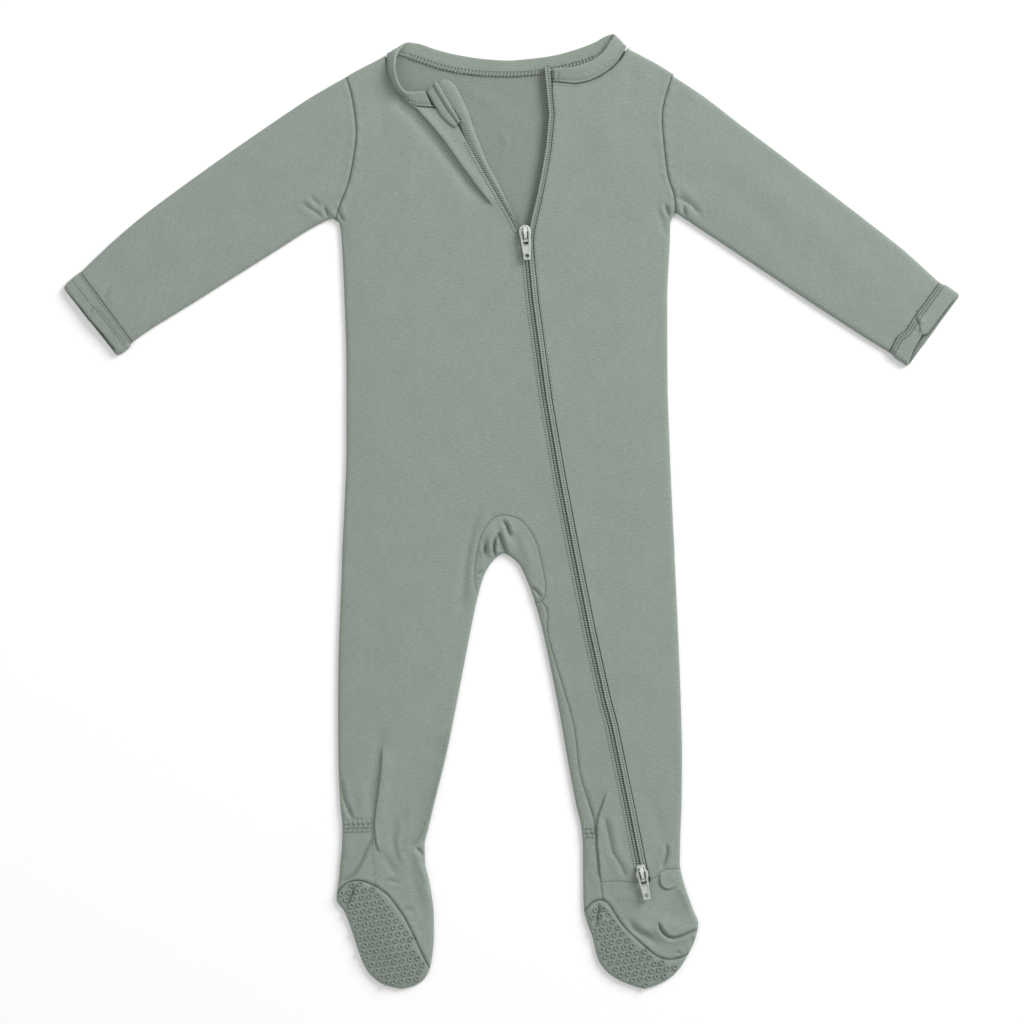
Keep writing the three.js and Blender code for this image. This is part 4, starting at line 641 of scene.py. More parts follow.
def newMaterial(name):
    material = bpy.data.materials.new(name)
    material.use_nodes = True
    tree = material.node_tree
    tree.nodes.clear()
    return material, tree


# Jersey of viscose and elastane, single knit and piece dyed: a soft matt face with a faint sheen, and short
# darker and lighter streaks along the courses where the dye took unevenly. Thread spacing is 0.45 mm, too fine
# for the picture, so the courses are drawn 1.1 mm apart.
jerseyLook = {
    "face": {"base": "#8f9a90", "dark": "#88928a", "light": "#96a096"},
    "inside": {"base": "#89938a", "dark": "#828c84", "light": "#8f998f"},
    "streakLength": 0.0040, "streakWidth": 0.0009, "courses": 0.0009, "wales": 0.0010,  # m
    # seamShade is the colour of the painted shade at seams, creases, the neck's edges and the cuff ends
    "roughness": 0.86, "sheen": 0.22, "seamShade": "#5f6a63",
}


def jersey(name, colours):
    material, tree = newMaterial(name)
    look = jerseyLook
    # the 'seam' attribute holds the painted shade, 0 to 1
    knit = node(tree, "Attribute", attribute_name="knit").outputs["Vector"]
    seam = node(tree, "Attribute", attribute_name="seam").outputs["Fac"]
    stretched = node(tree, "Mapping", {"Vector": knit, "Scale": (1 / look["streakLength"], 1 / look["streakWidth"], 1)})
    streaks = node(tree, "TexNoise", {"Vector": stretched.outputs[0], "Scale": 1.0, "Detail": 2.0, "Roughness": 0.8})
    clouds = node(tree, "TexNoise", {"Vector": knit, "Scale": 60.0, "Detail": 5.0})
    colour = node(tree, "ValToRGB", {"Fac": streaks.outputs["Fac"]})
    ramp = colour.color_ramp
    ramp.elements[0].position, ramp.elements[0].color = 0.3, srgb(colours["dark"])
    ramp.elements[1].position, ramp.elements[1].color = 0.74, srgb(colours["light"])
    ramp.elements.new(0.5).color = srgb(colours["base"])
    shade = node(tree, "MapRange", {"Value": clouds.outputs["Fac"], "From Min": 0.3, "From Max": 0.7,
                                    "To Min": 0.972, "To Max": 1.024})
    small = node(tree, "Mapping", {"Vector": knit, "Scale": (1 / look["wales"], 1 / look["courses"], 1)})
    loops = node(tree, "TexNoise", {"Vector": small.outputs[0], "Scale": 1.0, "Detail": 1.0})
    grain = node(tree, "MapRange", {"Value": loops.outputs["Fac"], "From Min": 0.25, "From Max": 0.75,
                                    "To Min": 0.9, "To Max": 1.1})
    tone = node(tree, "Math", {0: shade.outputs[0], 1: grain.outputs[0]}, operation="MULTIPLY")
    cloudy = node(tree, "VectorMath", {0: colour.outputs[0], "Scale": tone.outputs[0]}, operation="SCALE")
    # painted shade: the colour is mixed towards seamShade where the 'seam' attribute is high
    sewn = node(tree, "Mix", {0: seam, 6: cloudy.outputs[0], 7: srgb(look["seamShade"])}, data_type="RGBA")
    both = node(tree, "Math", {0: loops.outputs["Fac"], 1: streaks.outputs["Fac"]}, operation="ADD")
    bump = node(tree, "Bump", {"Height": both.outputs[0], "Strength": 0.3, "Distance": 0.00025})
    shader = node(tree, "BsdfPrincipled", {"Base Color": sewn.outputs[2], "Normal": bump.outputs[0],
                                           "Roughness": look["roughness"], "Sheen Weight": look["sheen"],
                                           "Sheen Roughness": 0.5, "Specular IOR Level": 0.25, "IOR": 1.5})
    node(tree, "OutputMaterial", {"Surface": shader.outputs[0]})
    return material


jerseyFace = jersey("jersey, single knit", jerseyLook["face"])
jerseyInside = jersey("jersey, reverse side", jerseyLook["inside"])
print("jersey materials made")


def addPiece(name, vertices, faces, materials, slot, nodes=(), body="garment", faceMaterials=None, smooth=True):
    mesh = bpy.data.meshes.new(name)
    mesh.from_pydata([tuple(v) for v in np.asarray(vertices) * mm], [], [tuple(map(int, f)) for f in faces])
    for material in materials:
        mesh.materials.append(material)
    if faceMaterials is not None:
        mesh.polygons.foreach_set("material_index", faceMaterials)
    if smooth:
        mesh.shade_smooth()
    piece = bpy.data.objects.new(name, mesh)
    bpy.context.scene.collection.objects.link(piece)
    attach(piece, body)
    if nodes:
        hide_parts(*nodes)
    return piece


def setKnit(piece, along=(0.0, 1.0), seamShade=None):  # along is the way the garment's courses are stacked
    mesh = piece.data
    across = (along[1], -along[0])
    knit = mesh.attributes.new("knit", "FLOAT_VECTOR", "POINT")
    coordinates = np.empty(len(mesh.vertices) * 3)
    mesh.vertices.foreach_get("co", coordinates)
    x, y, z = coordinates.reshape(-1, 3).T
    knit.data.foreach_set("vector", np.column_stack([x * across[0] + y * across[1] + z,
                                                     x * along[0] + y * along[1], z * 0.3]).ravel())
    # the 'seam' attribute carries the painted shade, 0 to 1
    shade = mesh.attributes.new("seam", "FLOAT", "POINT")
    shade.data.foreach_set("value", np.zeros(len(mesh.vertices)) if seamShade is None else seamShade)


def panel(name, nodes, upperSpots, lowerSpots, folded, flat, area, slot="jersey", lift=0.0, thickness=None, along=(0, 1),
          end=None):
    upper = regionAt(upperLabels, upperSpots) if upperSpots else np.zeros((0, 3), int)
    under = regionAt(lowerLabels, lowerSpots) if lowerSpots else np.zeros((0, 3), int)
    welded = onSide & ~sewnSide if folded == "body" else onSide
    lowerKey = np.where(welded, np.arange(len(plan)) * 2, np.arange(len(plan)) * 2 + 1)
    keyed = np.vstack([upper * 2, lowerKey[under][:, ::-1]])
    keys, faces = np.unique(keyed, return_inverse=True)
    faces = faces.reshape(-1, 3)
    spot, isLower = keys // 2, keys % 2 == 1
    heights = upperHeights(plan[spot], lift) if lift else upperZ[spot]
    z = np.where(isLower, lowerZ[spot], heights)
    sewn = onSide[spot] & ~welded[spot]
    z = np.where(sewn, cloth["edgeHeight"] + np.where(isLower, -1, 1) * cloth["seamGap"] / 2, z)
    place = plan[spot].copy()
    counts = {}
    for face in faces:
        for i in range(3):
            p, q, r = face[i], face[(i + 1) % 3], face[(i + 2) % 3]
            counts.setdefault((min(p, q), max(p, q)), []).append(r)
    inward = np.zeros((len(keys), 2))
    for (p, q), across in counts.items():
        if len(across) == 1:
            edge = place[q] - place[p]
            normal = np.array([-edge[1], edge[0]]) / max(np.hypot(*edge), 1e-9)
            if np.dot(place[across[0]] - place[p], normal) < 0:
                normal = -normal
            inward[p] += normal
            inward[q] += normal
    # painted shade along seams, creases and the neck's edges
    shade = 0.75 * paintedShadeTone[spot]
    if end:  # the upper layer's end is drawn back from the lower one's and rolled; the lower layer gets painted shade where it shows beyond that end
        line = resample(end["line"], 1.0)
        away, _, place1d = nearest(place, line)
        share = place1d / np.hypot(*np.diff(line, axis=0).T).sum()
        inset = np.interp(share, *np.array(end["inset"]).T) * np.clip(1 - away / cloth["cuffDepth"], 0, 1)
        place += np.outer(np.where(isLower, 0, inset), along)
        bend = np.clip(1 - away / cloth["rollReach"], 0, 1) * np.clip(np.minimum(share, 1 - share) * 12, 0, 1)
        z = z - np.where(isLower, 0, cloth["roll"] * (1 - np.sqrt(1 - bend**2)))
        hidden = np.interp(share, *np.array(end["inset"]).T) - away  # beyond the upper layer's end when positive
        # painted shade on the lower layer where it shows beyond the upper layer's end
        shade = np.where(isLower, end["dark"] * hump(hidden - 0.2, 1.1), shade)
    size = np.hypot(*inward.T)
    rim = (size > 0) & ~onSide[spot]
    gap = cloth["seamGap"] / 2 * np.clip(paintedShadeTone[spot], 0.15, 1)
    place[rim] += inward[rim] / size[rim][:, None] * gap[rim][:, None]
    piece = addPiece(name, np.column_stack([place, z]), faces, [jerseyFace, jerseyInside], slot, nodes)
    setKnit(piece, along, shade)
    solid = piece.modifiers.new("cloth", "SOLIDIFY")
    solid.thickness = (thickness or cloth["thickness"]) * mm
    solid.offset = -1
    solid.material_offset = 1
    solid.material_offset_rim = 0
    applyModifiers(piece)
    for vertex in piece.data.vertices:
        vertex.co.z = abs(vertex.co.z)
    print(name, len(piece.data.polygons), "faces")
    return piece


def applyModifiers(piece):
    evaluated = piece.evaluated_get(bpy.context.evaluated_depsgraph_get())
    mesh = bpy.data.meshes.new_from_object(evaluated)
    piece.modifiers.clear()
    piece.data = mesh


leftAlong, rightAlong = (0.832, 0.555), (-0.82, 0.572)  # up each sleeve
# How far each cuff's upper layer is drawn back, from the sleeve's top side to its lower side: share, mm. dark is the
# strength of the painted shade on the lower layer beyond that end.
leftEnd = {"dark": 1.6, "line": cuffEndLeft, "inset": [(0, 0), (0.06, 0.5), (0.3, 1.0), (0.5, 1.0), (0.72, 1.7), (0.9, 1.6), (0.97, 0.3), (1, 0)]}
rightEnd = {"dark": 1.2, "line": cuffEndRight, "inset": [(0, 0), (0.05, 0.2), (0.12, 1.3), (0.25, 1.9), (0.45, 2.1), (0.575, 2.2),
                                            (0.6, 4.7), (0.7, 3.9), (0.8, 3.2), (0.9, 1.2), (0.97, 0), (1, 0)]}
panels = {
    "backPanel": dict(nodes=["back"], upperSpots=[(36, -130), (-100, -220)], lowerSpots=[(0, 100)], folded="body",
                      flat=(0.24, 0.60), area=0.105, slot="jersey"),
    "frontLeftPanel": dict(nodes=["front_left"], upperSpots=[(-60, 100)], lowerSpots=[], folded="body",
                           flat=(0.20, 0.595), area=0.058),
    "frontRightPanel": dict(nodes=["front_right"], upperSpots=[(80, 100)], lowerSpots=[], folded="body",
                            flat=(0.098, 0.54), area=0.033),
    "crotchGusset": dict(nodes=["crotch_gusset"], upperSpots=[(-4, -12)], lowerSpots=[], folded="body",
                         flat=(0.046, 0.057), area=0.0014),
    "vampPanel": dict(nodes=["vamp_right"], upperSpots=[(90, -262)], lowerSpots=[], folded="body",
                      flat=(0.064, 0.06), area=0.0025),
    "soleLeftPanel": dict(nodes=["sole_left"], upperSpots=[(-88, -280)], lowerSpots=[(-88, -280)], folded="all",
                          flat=(0.075, 0.085), area=0.005),
    "soleRightPanel": dict(nodes=["sole_right"], upperSpots=[(75, -298)], lowerSpots=[(75, -298)], folded="all",
                           flat=(0.070, 0.065), area=0.0036),
    "sleeveLeftPanel": dict(nodes=["sleeve_left"], upperSpots=[(-200, 180)], lowerSpots=[(-200, 180)], folded="all",
                            flat=(0.19, 0.20), area=0.0262, along=leftAlong),
    "sleeveRightPanel": dict(nodes=["sleeve_right"], upperSpots=[(200, 180)], lowerSpots=[(200, 180)], folded="all",
                             flat=(0.19, 0.20), area=0.0265, along=rightAlong),
    "cuffLeftBand": dict(nodes=["cuff_left"], upperSpots=[(-268, 128)], lowerSpots=[(-268, 128)], folded="all",
                         flat=(0.115, 0.016), area=0.0018, lift=1.2, thickness=1.6, along=leftAlong,
                         end=leftEnd),
    "cuffRightBand": dict(nodes=["cuff_right"], upperSpots=[(266, 125)], lowerSpots=[(266, 125)], folded="all",
                          flat=(0.115, 0.016), area=0.0018, lift=1.2, thickness=1.6, along=rightAlong,
                          end=rightEnd),
}
made = {name: panel(name, **values) for name, values in panels.items()}
print("cloth panels made")


# Closed solid through rows of sections, each a loop of the same number of points
def loftFaces(count, loop):
    faces = []
    for i in range(count - 1):
        for k in range(loop):
            n = (k + 1) % loop
            faces.append((i * loop + k, i * loop + n, (i + 1) * loop + n, (i + 1) * loop + k))
    faces.append(tuple(range(loop))[::-1])
    faces.append(tuple((count - 1) * loop + k for k in range(loop)))
    return faces


def outwards(vertices, faces):  # turns every face over where the solid is inside out
    volume = 0.0
    points = np.asarray(vertices)
    for face in faces:
        for k in range(1, len(face) - 1):
            volume += np.dot(points[face[0]], np.cross(points[face[k]], points[face[k + 1]]))
    return faces if volume > 0 else [tuple(face)[::-1] for face in faces]


def addLoft(name, sections, materials, slot, nodes=(), body="garment", shade=None):
    sections = np.asarray(sections)
    vertices = sections.reshape(-1, 3)
    faces = outwards(vertices, loftFaces(len(sections), sections.shape[1]))
    piece = addPiece(name, vertices, faces, materials, slot, nodes, body)
    setKnit(piece, seamShade=None if shade is None else np.tile(shade, len(sections)))
    return piece


# Neckband: seam edge x, y, z, free edge x, y, z, at the middle of its thickness, from the left end round the back
neckband = {
    "rows": [
        (-51.0, 262.6, 4.2, -56.2, 273.2, 6.2), (-61.7, 263.5, 4.2, -62.0, 272.6, 6.6),
        (-66.5, 266.6, 4.2, -67.6, 272.4, 8.0), (-71.7, 271.4, 4.2, -71.6, 275.0, 10.4),
        (-76.3, 278.2, 4.2, -74.2, 280.6, 11.6), (-79.4, 287.1, 4.1, -75.4, 288.0, 11.6),
        (-80.1, 293.4, 4.0, -74.4, 295.4, 9.4), (-79.9, 297.4, 2.9, -71.2, 301.4, 5.6),
        (-75.2, 297.1, 1.5, -66.4, 305.2, 2.4), (-66.0, 294.9, 1.1, -60.6, 304.6, 1.2),
        (-55.6, 291.5, 1.1, -50.4, 301.2, 1.1), (-46.8, 288.5, 1.1, -42.6, 299.0, 1.1),
        (-34.5, 285.7, 1.1, -32.6, 296.8, 1.1), (-18.2, 283.8, 1.1, -18.0, 294.6, 1.1),
        (-1.6, 283.3, 1.1, -1.6, 293.6, 1.1), (9.4, 283.8, 1.1, 9.4, 294.4, 1.1),
        (19.1, 284.9, 1.1, 17.5, 295.3, 1.1), (29.8, 286.9, 1.1, 26.5, 296.6, 1.1),
        (45.6, 290.5, 1.1, 40.6, 300.2, 1.1), (58.7, 295.1, 1.1, 54.0, 305.2, 1.1),
        (70.6, 299.8, 1.1, 62.0, 309.6, 1.1), (74.2, 302.2, 2.0, 65.6, 310.5, 2.2),
        (74.4, 301.2, 3.9, 66.6, 309.2, 4.4), (72.0, 296.8, 4.5, 63.4, 304.0, 5.4),
        (69.8, 293.0, 4.6, 60.0, 298.7, 5.9), (64.1, 287.3, 4.6, 54.2, 293.8, 6.3),
        (56.3, 282.2, 4.6, 47.6, 290.6, 6.4), (48.5, 279.2, 4.6, 40.4, 288.6, 6.3),
        (41.8, 278.1, 4.5, 34.6, 288.1, 6.2), (34.1, 278.8, 4.5, 30.4, 287.9, 6.0),
        (28.1, 279.3, 4.4, 28.0, 287.9, 5.8),
    ],
    "halfThickness": 1.0, "pinch": 0.35, "pinchAt": 0.2, "pucker": 0.12,  # mm, mm, share of its width, mm
}


def bandFrame(rows):  # seam edge, free edge and the direction through its thickness, for each row
    seam, free = rows[:, :3], rows[:, 3:]
    middle = (seam + free) / 2
    along = np.gradient(middle, axis=0)
    across = free - seam
    across /= np.linalg.norm(across, axis=1)[:, None]
    through = np.cross(along, across)
    return seam, free, through / np.linalg.norm(through, axis=1)[:, None]


bandRows = smoothRows(neckband["rows"], 7)
bandSeam, bandFree, bandThrough = bandFrame(bandRows)
shares = np.array([0, 0.08, 0.14, 0.2, 0.26, 0.34, 0.45, 0.58, 0.7, 0.8, 0.88, 0.94, 0.98, 1.0])
sections = []
for i, (seam, free, through) in enumerate(zip(bandSeam, bandFree, bandThrough)):
    round_ = np.sqrt(np.clip(1 - ((shares - 0.86) / 0.14).clip(0) ** 2, 0, 1))
    half = neckband["halfThickness"] * (0.25 + 0.75 * round_) * np.where(shares == 0, 0.8, 1)
    half = half - neckband["pinch"] * hump(shares - neckband["pinchAt"], 0.07)
    half += neckband["pucker"] * math.sin(i * 1.9 + math.sin(i * 0.7)) * hump(shares - 0.42, 0.22)
    face = [seam + (free - seam) * t + through * h for t, h in zip(shares, half)]
    reverse = [seam + (free - seam) * t - through * h for t, h in zip(shares, half)]
    sections.append(face + reverse[::-1])
# Painted shade along the band's seam edge and, fainter, along its pinch
tone = 0.85 * hump(shares, 0.06) + 0.25 * hump(shares - 0.2, 0.05)
band = addLoft("neckBand", sections, [jerseyFace], "jersey", ["neckband"], shade=np.append(tone, tone[::-1]))
print("neckband made")

# Zip tapes: polyester, woven flat on a narrow loom, slightly cooler and darker than the jersey, dull
tapeLook = {"colour": "#a2ada4", "thread": "#949f97", "rib": 0.0009, "roughness": 0.8}


def tapeMaterial():
    material, tree = newMaterial("polyester tape, narrow woven")
    knit = node(tree, "Attribute", attribute_name="knit").outputs["Vector"]
    scaled = node(tree, "Mapping", {"Vector": knit, "Scale": (1 / tapeLook["rib"],) * 2 + (1,)})
    ribs = node(tree, "TexWave", {"Vector": scaled.outputs[0], "Scale": 0.5, "Distortion": 0.6, "Detail": 1.0},
                wave_type="BANDS", bands_direction="Y")
    colour = node(tree, "Mix", {0: ribs.outputs["Fac"], 6: srgb(tapeLook["thread"]), 7: srgb(tapeLook["colour"])},
                  data_type="RGBA")
    bump = node(tree, "Bump", {"Height": ribs.outputs["Fac"], "Strength": 0.5, "Distance": 0.0002})
    shader = node(tree, "BsdfPrincipled", {"Base Color": colour.outputs[2], "Normal": bump.outputs[0],
                                           "Roughness": tapeLook["roughness"], "Specular IOR Level": 0.3})
    node(tree, "OutputMaterial", {"Surface": shader.outputs[0]})
    return material


# Zip coil: nylon filament, extruded and wound, satin, grey green with a blue cast. The two darker colours are painted
# shade, on a strip that stands for the shade between the turns
coilLook = {"colour": "#b0bab2", "dark": "#9da8a0", "gapShade": "#586360", "gapShadeDark": "#4a5552", "roughness": 0.42}


def plainMaterial(name, colour, roughness, spotScale, spotShare, metallic=0.0, dark=None):
    material, tree = newMaterial(name)
    place = node(tree, "TexCoord").outputs["Object"]
    spots = node(tree, "TexNoise", {"Vector": place, "Scale": spotScale, "Detail": 3.0})
    colours = node(tree, "Mix", {0: spots.outputs["Fac"], 6: srgb(colour), 7: srgb(dark or colour)}, data_type="RGBA")
    rough = node(tree, "MapRange", {"Value": spots.outputs["Fac"], "To Min": roughness - spotShare,
                                    "To Max": roughness + spotShare})
    bump = node(tree, "Bump", {"Height": spots.outputs["Fac"], "Strength": 0.15, "Distance": 0.0001})
    shader = node(tree, "BsdfPrincipled", {"Base Color": colours.outputs[2], "Roughness": rough.outputs[0],
                                           "Metallic": metallic, "Normal": bump.outputs[0]})
    node(tree, "OutputMaterial", {"Surface": shader.outputs[0]})
    return material


tapeCloth = tapeMaterial()
coilNylon = plainMaterial("nylon filament, extruded", coilLook["colour"], coilLook["roughness"], 900, 0.06,
                          dark=coilLook["dark"])
# painted shade between the coil's turns
coilGapShade = plainMaterial("nylon filament, extruded, painted shade between the turns", coilLook["gapShade"], 0.7, 900, 0.06,
                         dark=coilLook["gapShadeDark"])
threadDark = plainMaterial("polyester thread, spun, blue grey", "#5d686d", 0.75, 1500, 0.05, dark="#525d62")
threadSage = plainMaterial("polyester thread, spun", "#a5afa5", 0.7, 1500, 0.05, dark="#949e95")

zipPiece = {
    "tapeThickness": 1.0, "tapeDrop": 0.6, "coilWidth": 1.55, "toothInset": 0.42,  # mm
    "pitch": 1.6, "toothWide": 0.8, "toothHigh": 0.62,  # mm, the pitch wider than a real one's 1.3, so that it shows
    "spread": 1.3, "spreadLength": 8.0,
    "tapeWidths": {"left": 2.0, "right": 3.9},
}


def zipEdge(openLine):
    return resample([*openLine, *zipClosed, zipEnd], 2.6)


def clothUnder(points):  # the upper layer's face without its fine seams, as under the zip
    return upperHeights(points, fine=False)


def zipSpread(y):
    return zipPiece["spread"] * np.clip(1 - (y - zipEnd[1]) / zipPiece["spreadLength"], 0, 1)


def ribbonSections(near, far, lows, highs, bend=0.0):  # a flat strip with a slightly rounded upper face
    shares = np.linspace(0, 1, 5)
    sections = []
    for n, f, low, high in zip(near, far, lows, highs):
        top = [(*(n + (f - n) * t), high + bend * math.sin(math.pi * t)) for t in shares]
        base = [(*(n + (f - n) * t), low) for t in shares]
        sections.append(top + base[::-1])
    return sections


def bars(starts, ends, wide, high, sides=6):  # rounded bars from start to end, as stitches or coil turns
    starts, ends = np.asarray(starts, float), np.asarray(ends, float)
    vertices, faces = [], []
    up = np.array([0, 0, 1.0])
    for start, end in zip(starts, ends):
        along = end - start
        length = np.linalg.norm(along)
        along = along / length
        side = np.cross(up, along)
        side /= np.linalg.norm(side)
        top = np.cross(along, side)
        base = len(vertices)
        rings = [(0.0, 0.35), (0.18, 0.85), (0.5, 1.0), (0.82, 0.85), (1.0, 0.35)]
        for t, size in rings:
            arch = 4 * t * (1 - t) * high * 0.35
            for k in range(sides):
                turn = 2 * math.pi * k / sides
                vertices.append(start + along * length * t + side * wide / 2 * size * math.cos(turn)
                                + top * (high / 2 * size * math.sin(turn) + arch))
        for r in range(len(rings) - 1):
            for k in range(sides):
                n = (k + 1) % sides
                faces.append((base + r * sides + k, base + r * sides + n, base + (r + 1) * sides + n,
                              base + (r + 1) * sides + k))
        faces.append(tuple(base + k for k in range(sides))[::-1])
        faces.append(tuple(base + (len(rings) - 1) * sides + k for k in range(sides)))
    perBar = (len(rings) - 1) * sides + 2
    kept = outwards(vertices[:len(rings) * sides], faces[:perBar])[0] == faces[0]
    return vertices, faces if kept else [face[::-1] for face in faces]


def joined(parts):  # several vertex and face lists as one
    vertices, faces = [], []
    for partVertices, partFaces in parts:
        base = len(vertices)
        vertices.extend(partVertices)
        faces.extend(tuple(base + i for i in face) for face in partFaces)
    return vertices, faces


for sideName, openLine, direction in (("left", zipLeftOpen, -1), ("right", zipRightOpen, 1)):
    edge = zipEdge(openLine)
    gap = cloth["seamGap"] / 2

    def rail(distance, line):
        moved = offsetLine(line, -direction * distance)
        moved[:, 0] += direction * zipSpread(line[:, 1])
        return moved

    near, far = rail(gap, edge), offsetLine(edge, -direction * zipPiece["tapeWidths"][sideName])
    tapeTop = clothUnder((near + far) / 2) - zipPiece["tapeDrop"]
    tape = addLoft("zipTape" + sideName.title(),
                   ribbonSections(near, far, tapeTop - zipPiece["tapeThickness"], tapeTop), [tapeCloth], "zip_tape",
                   ["zip_tape_" + sideName])
    base = tapeTop + 0.3
    # painted shade: a dark strip along the middle, under the turns
    gapShade = ribbonSections(rail(gap + 0.05, edge), rail(gap + 0.6, edge), base, base + 0.5, 0.1)
    gapShadeFaces = loftFaces(len(gapShade), len(gapShade[0]))
    gapShadeVertices = np.asarray(gapShade).reshape(-1, 3)
    fineEdge = resample(edge, zipPiece["pitch"])
    if direction > 0:  # the turns of the two sides lie between each other
        fineEdge = (fineEdge[:-1] + fineEdge[1:]) / 2
    inner, outer = rail(gap + zipPiece["toothInset"], fineEdge), rail(gap + zipPiece["coilWidth"], fineEdge)
    z = np.interp(np.linspace(0, 1, len(fineEdge)), np.linspace(0, 1, len(base)), base) + 0.78
    slant = np.gradient(fineEdge, axis=0) * 0.16 * direction
    teeth = bars(np.column_stack([inner - slant, z]), np.column_stack([outer + slant, z - 0.1]),
                 zipPiece["toothWide"], zipPiece["toothHigh"])
    vertices, faces = joined([(list(gapShadeVertices), outwards(gapShadeVertices, gapShadeFaces)), teeth])
    isGapShade = np.arange(len(faces)) < len(gapShadeFaces)
    coil = addPiece("zipCoil" + sideName.title(), vertices, faces, [coilNylon, coilGapShade], "zip_coil",
                    ["zip_coil_" + sideName], faceMaterials=isGapShade.astype(int))
print("zip made")

# Guard strip behind the left half of the zip and the tab folded over its top end: right edge x, y, left edge x, y
guard = {
    "rows": [(-44.6, 281.4, -50.0, 276.0), (-40.6, 280.9, -49.0, 272.0), (-35.6, 276.4, -47.0, 268.0),
             (-32.2, 269.8, -43.0, 262.0), (-28.1, 261.4, -40.0, 254.0), (-24.8, 251.5, -36.0, 246.0),
             (-19.8, 238.2, -31.0, 234.0), (-14.0, 224.1, -24.5, 220.5), (-9.1, 215.5, -19.0, 210.0),
             (-1.1, 198.3, -8.0, 196.0), (3.0, 190.0, -3.5, 187.0)],
    "low": 1.5, "high": 2.5,  # mm
}
garage = {
    "rows": [(-48.3, 279.2, -54.6, 272.5), (-44.7, 273.3, -50.1, 264.4), (-42.2, 269.0, -47.7, 260.6),
             (-39.7, 264.7, -45.5, 257.3), (-37.2, 260.5, -42.7, 254.2), (-34.8, 256.4, -39.7, 251.5),
             (-33.2, 252.8, -36.5, 249.2)],
    "thickness": 1.2, "over": 0.3, "coilTop": 1.1, "reach": 3.0,  # mm
}
rows = smoothRows(guard["rows"], 5)
guardPiece = addLoft("zipGuard", ribbonSections(rows[:, :2], rows[:, 2:], np.full(len(rows), guard["low"]),
                                                guard["high"] + 0.15 * np.sin(np.arange(len(rows)) * 0.5), 0.25),
                     [jerseyFace], "jersey", ["zip_guard"])
rows = smoothRows(garage["rows"], 4)
coilLine = offsetLine(zipLeftOpen, zipPiece["coilWidth"] / 2)
sections = []
for row in rows:
    across = np.array([row[:2] + (row[2:] - row[:2]) * t for t in np.linspace(0, 1, 9)])
    low = clothUnder(across) + garage["over"] + garage["coilTop"] * hump(nearest(across, coilLine)[0], garage["reach"])
    rounded = garage["thickness"] * np.array([0.5, 0.95, 1, 0.3, 0.85, 0.9, 0.9, 0.8, 0.45])
    sections.append([(*p, z) for p, z in zip(across, low)] + [(*p, z) for p, z in zip(across[::-1], (low + rounded)[::-1])])
# Painted shade in the tab's groove and faintly along its two long edges
tone = np.array([0.2, 0, 0, 0.8, 0.1, 0, 0, 0, 0.2])
garagePiece = addLoft("zipGarage", sections, [jerseyFace], "jersey", ["zip_garage"], shade=np.append(tone, tone[::-1]))

# Grip dots: clear silicone printed on the soles in staggered rows, soft gloss, rounded rims, with painted shade on each
# dot's outer wall at its foot and on the centre of its hollow
grip = {"pitch": 5.1, "radius": 1.85, "height": 1.0, "under": 0.5, "margin": 1.9, "turn": math.radians(8),  # mm
        "colour": "#8a958c", "roughness": 0.75}
gripSilicone = plainMaterial("silicone, printed", grip["colour"], grip["roughness"], 700, 0.08, dark="#848f86")
# painted shade: a darker copy of the silicone
gripDotShade = plainMaterial("silicone, printed, painted shade at the foot of a dot", "#66716a", 0.5, 700, 0.08, dark="#5d6861")


def addDots(name, sole, box, seamName):
    tree = BVHTree.FromObject(sole, bpy.context.evaluated_depsgraph_get())
    x0, x1, y0, y1 = box
    spots = []
    for j in range(-20, 21):
        for i in range(-20, 21):
            u, v = (i + 0.5 * (j % 2)) * grip["pitch"], j * grip["pitch"] * 0.866
            x = (x0 + x1) / 2 + u * math.cos(grip["turn"]) - v * math.sin(grip["turn"])
            y = (y0 + y1) / 2 + u * math.sin(grip["turn"]) + v * math.cos(grip["turn"])
            spots.append((x, y))
    spots = np.array(spots)
    clear = (toSides(spots) > grip["margin"]) & (nearest(spots, seamLines[seamName])[0] > grip["margin"])
    profile = [(1.0, -0.2), (1.0, 0.3), (0.93, 0.78), (0.76, 1.0), (0.58, 0.8), (0.36, 0.35)]  # share of size, height
    vertices, faces = [], []
    for x, y in spots[clear]:
        for start, way in ((30, -1), (-30, 1)):
            hit, normal, _, _ = tree.ray_cast(Vector((x, y, start)) * mm, Vector((0, 0, way)))
            if hit is None or abs(hit.z) > 0.02 or way > 0 and hit.z < grip["under"] * mm:
                continue
            base, count = len(vertices), 12
            centre = Vector(hit) / mm
            tall = grip["height"] if way < 0 else -grip["under"]
            radius = grip["radius"] * (1 + 0.16 * noise.noise((x / 6, y / 6, 2.5)))
            lean = -0.6 * normal / max(abs(normal.z), 0.5)  # it follows the slope that it lies on
            for size, high in profile:
                for k in range(count):
                    turn = 2 * math.pi * k / count
                    across, up = radius * size * math.cos(turn), radius * size * math.sin(turn)
                    slope = (across * lean.x + up * lean.y) * (1 if normal.z > 0 else -1) if way < 0 else 0
                    vertices.append((centre.x + across, centre.y + up, centre.z + high * tall + slope))
            order = 1 if way < 0 else -1
            for r in range(len(profile) - 1):
                for k in range(count):
                    n = (k + 1) % count
                    quad = (base + r * count + k, base + r * count + n, base + (r + 1) * count + n,
                            base + (r + 1) * count + k)
                    faces.append(quad[::order])
            top = tuple(base + (len(profile) - 1) * count + k for k in range(count))
            bottom = tuple(base + k for k in range(count))
            faces.append(top[::order])
            faces.append(bottom[::-order])
    print(name, len(vertices) // (12 * len(profile)), "dots")
    perDot = len(faces) // max(1, len(vertices) // (12 * len(profile)))
    # faces that get the painted shade: the outer wall at the foot and the flat centre of the hollow
    inDotShade = [i % perDot < 12 or perDot - 3 < i % perDot < perDot - 1 for i in range(len(faces))]
    return addPiece(name, vertices, faces, [gripSilicone, gripDotShade], "jersey", faceMaterials=np.array(inDotShade, int))


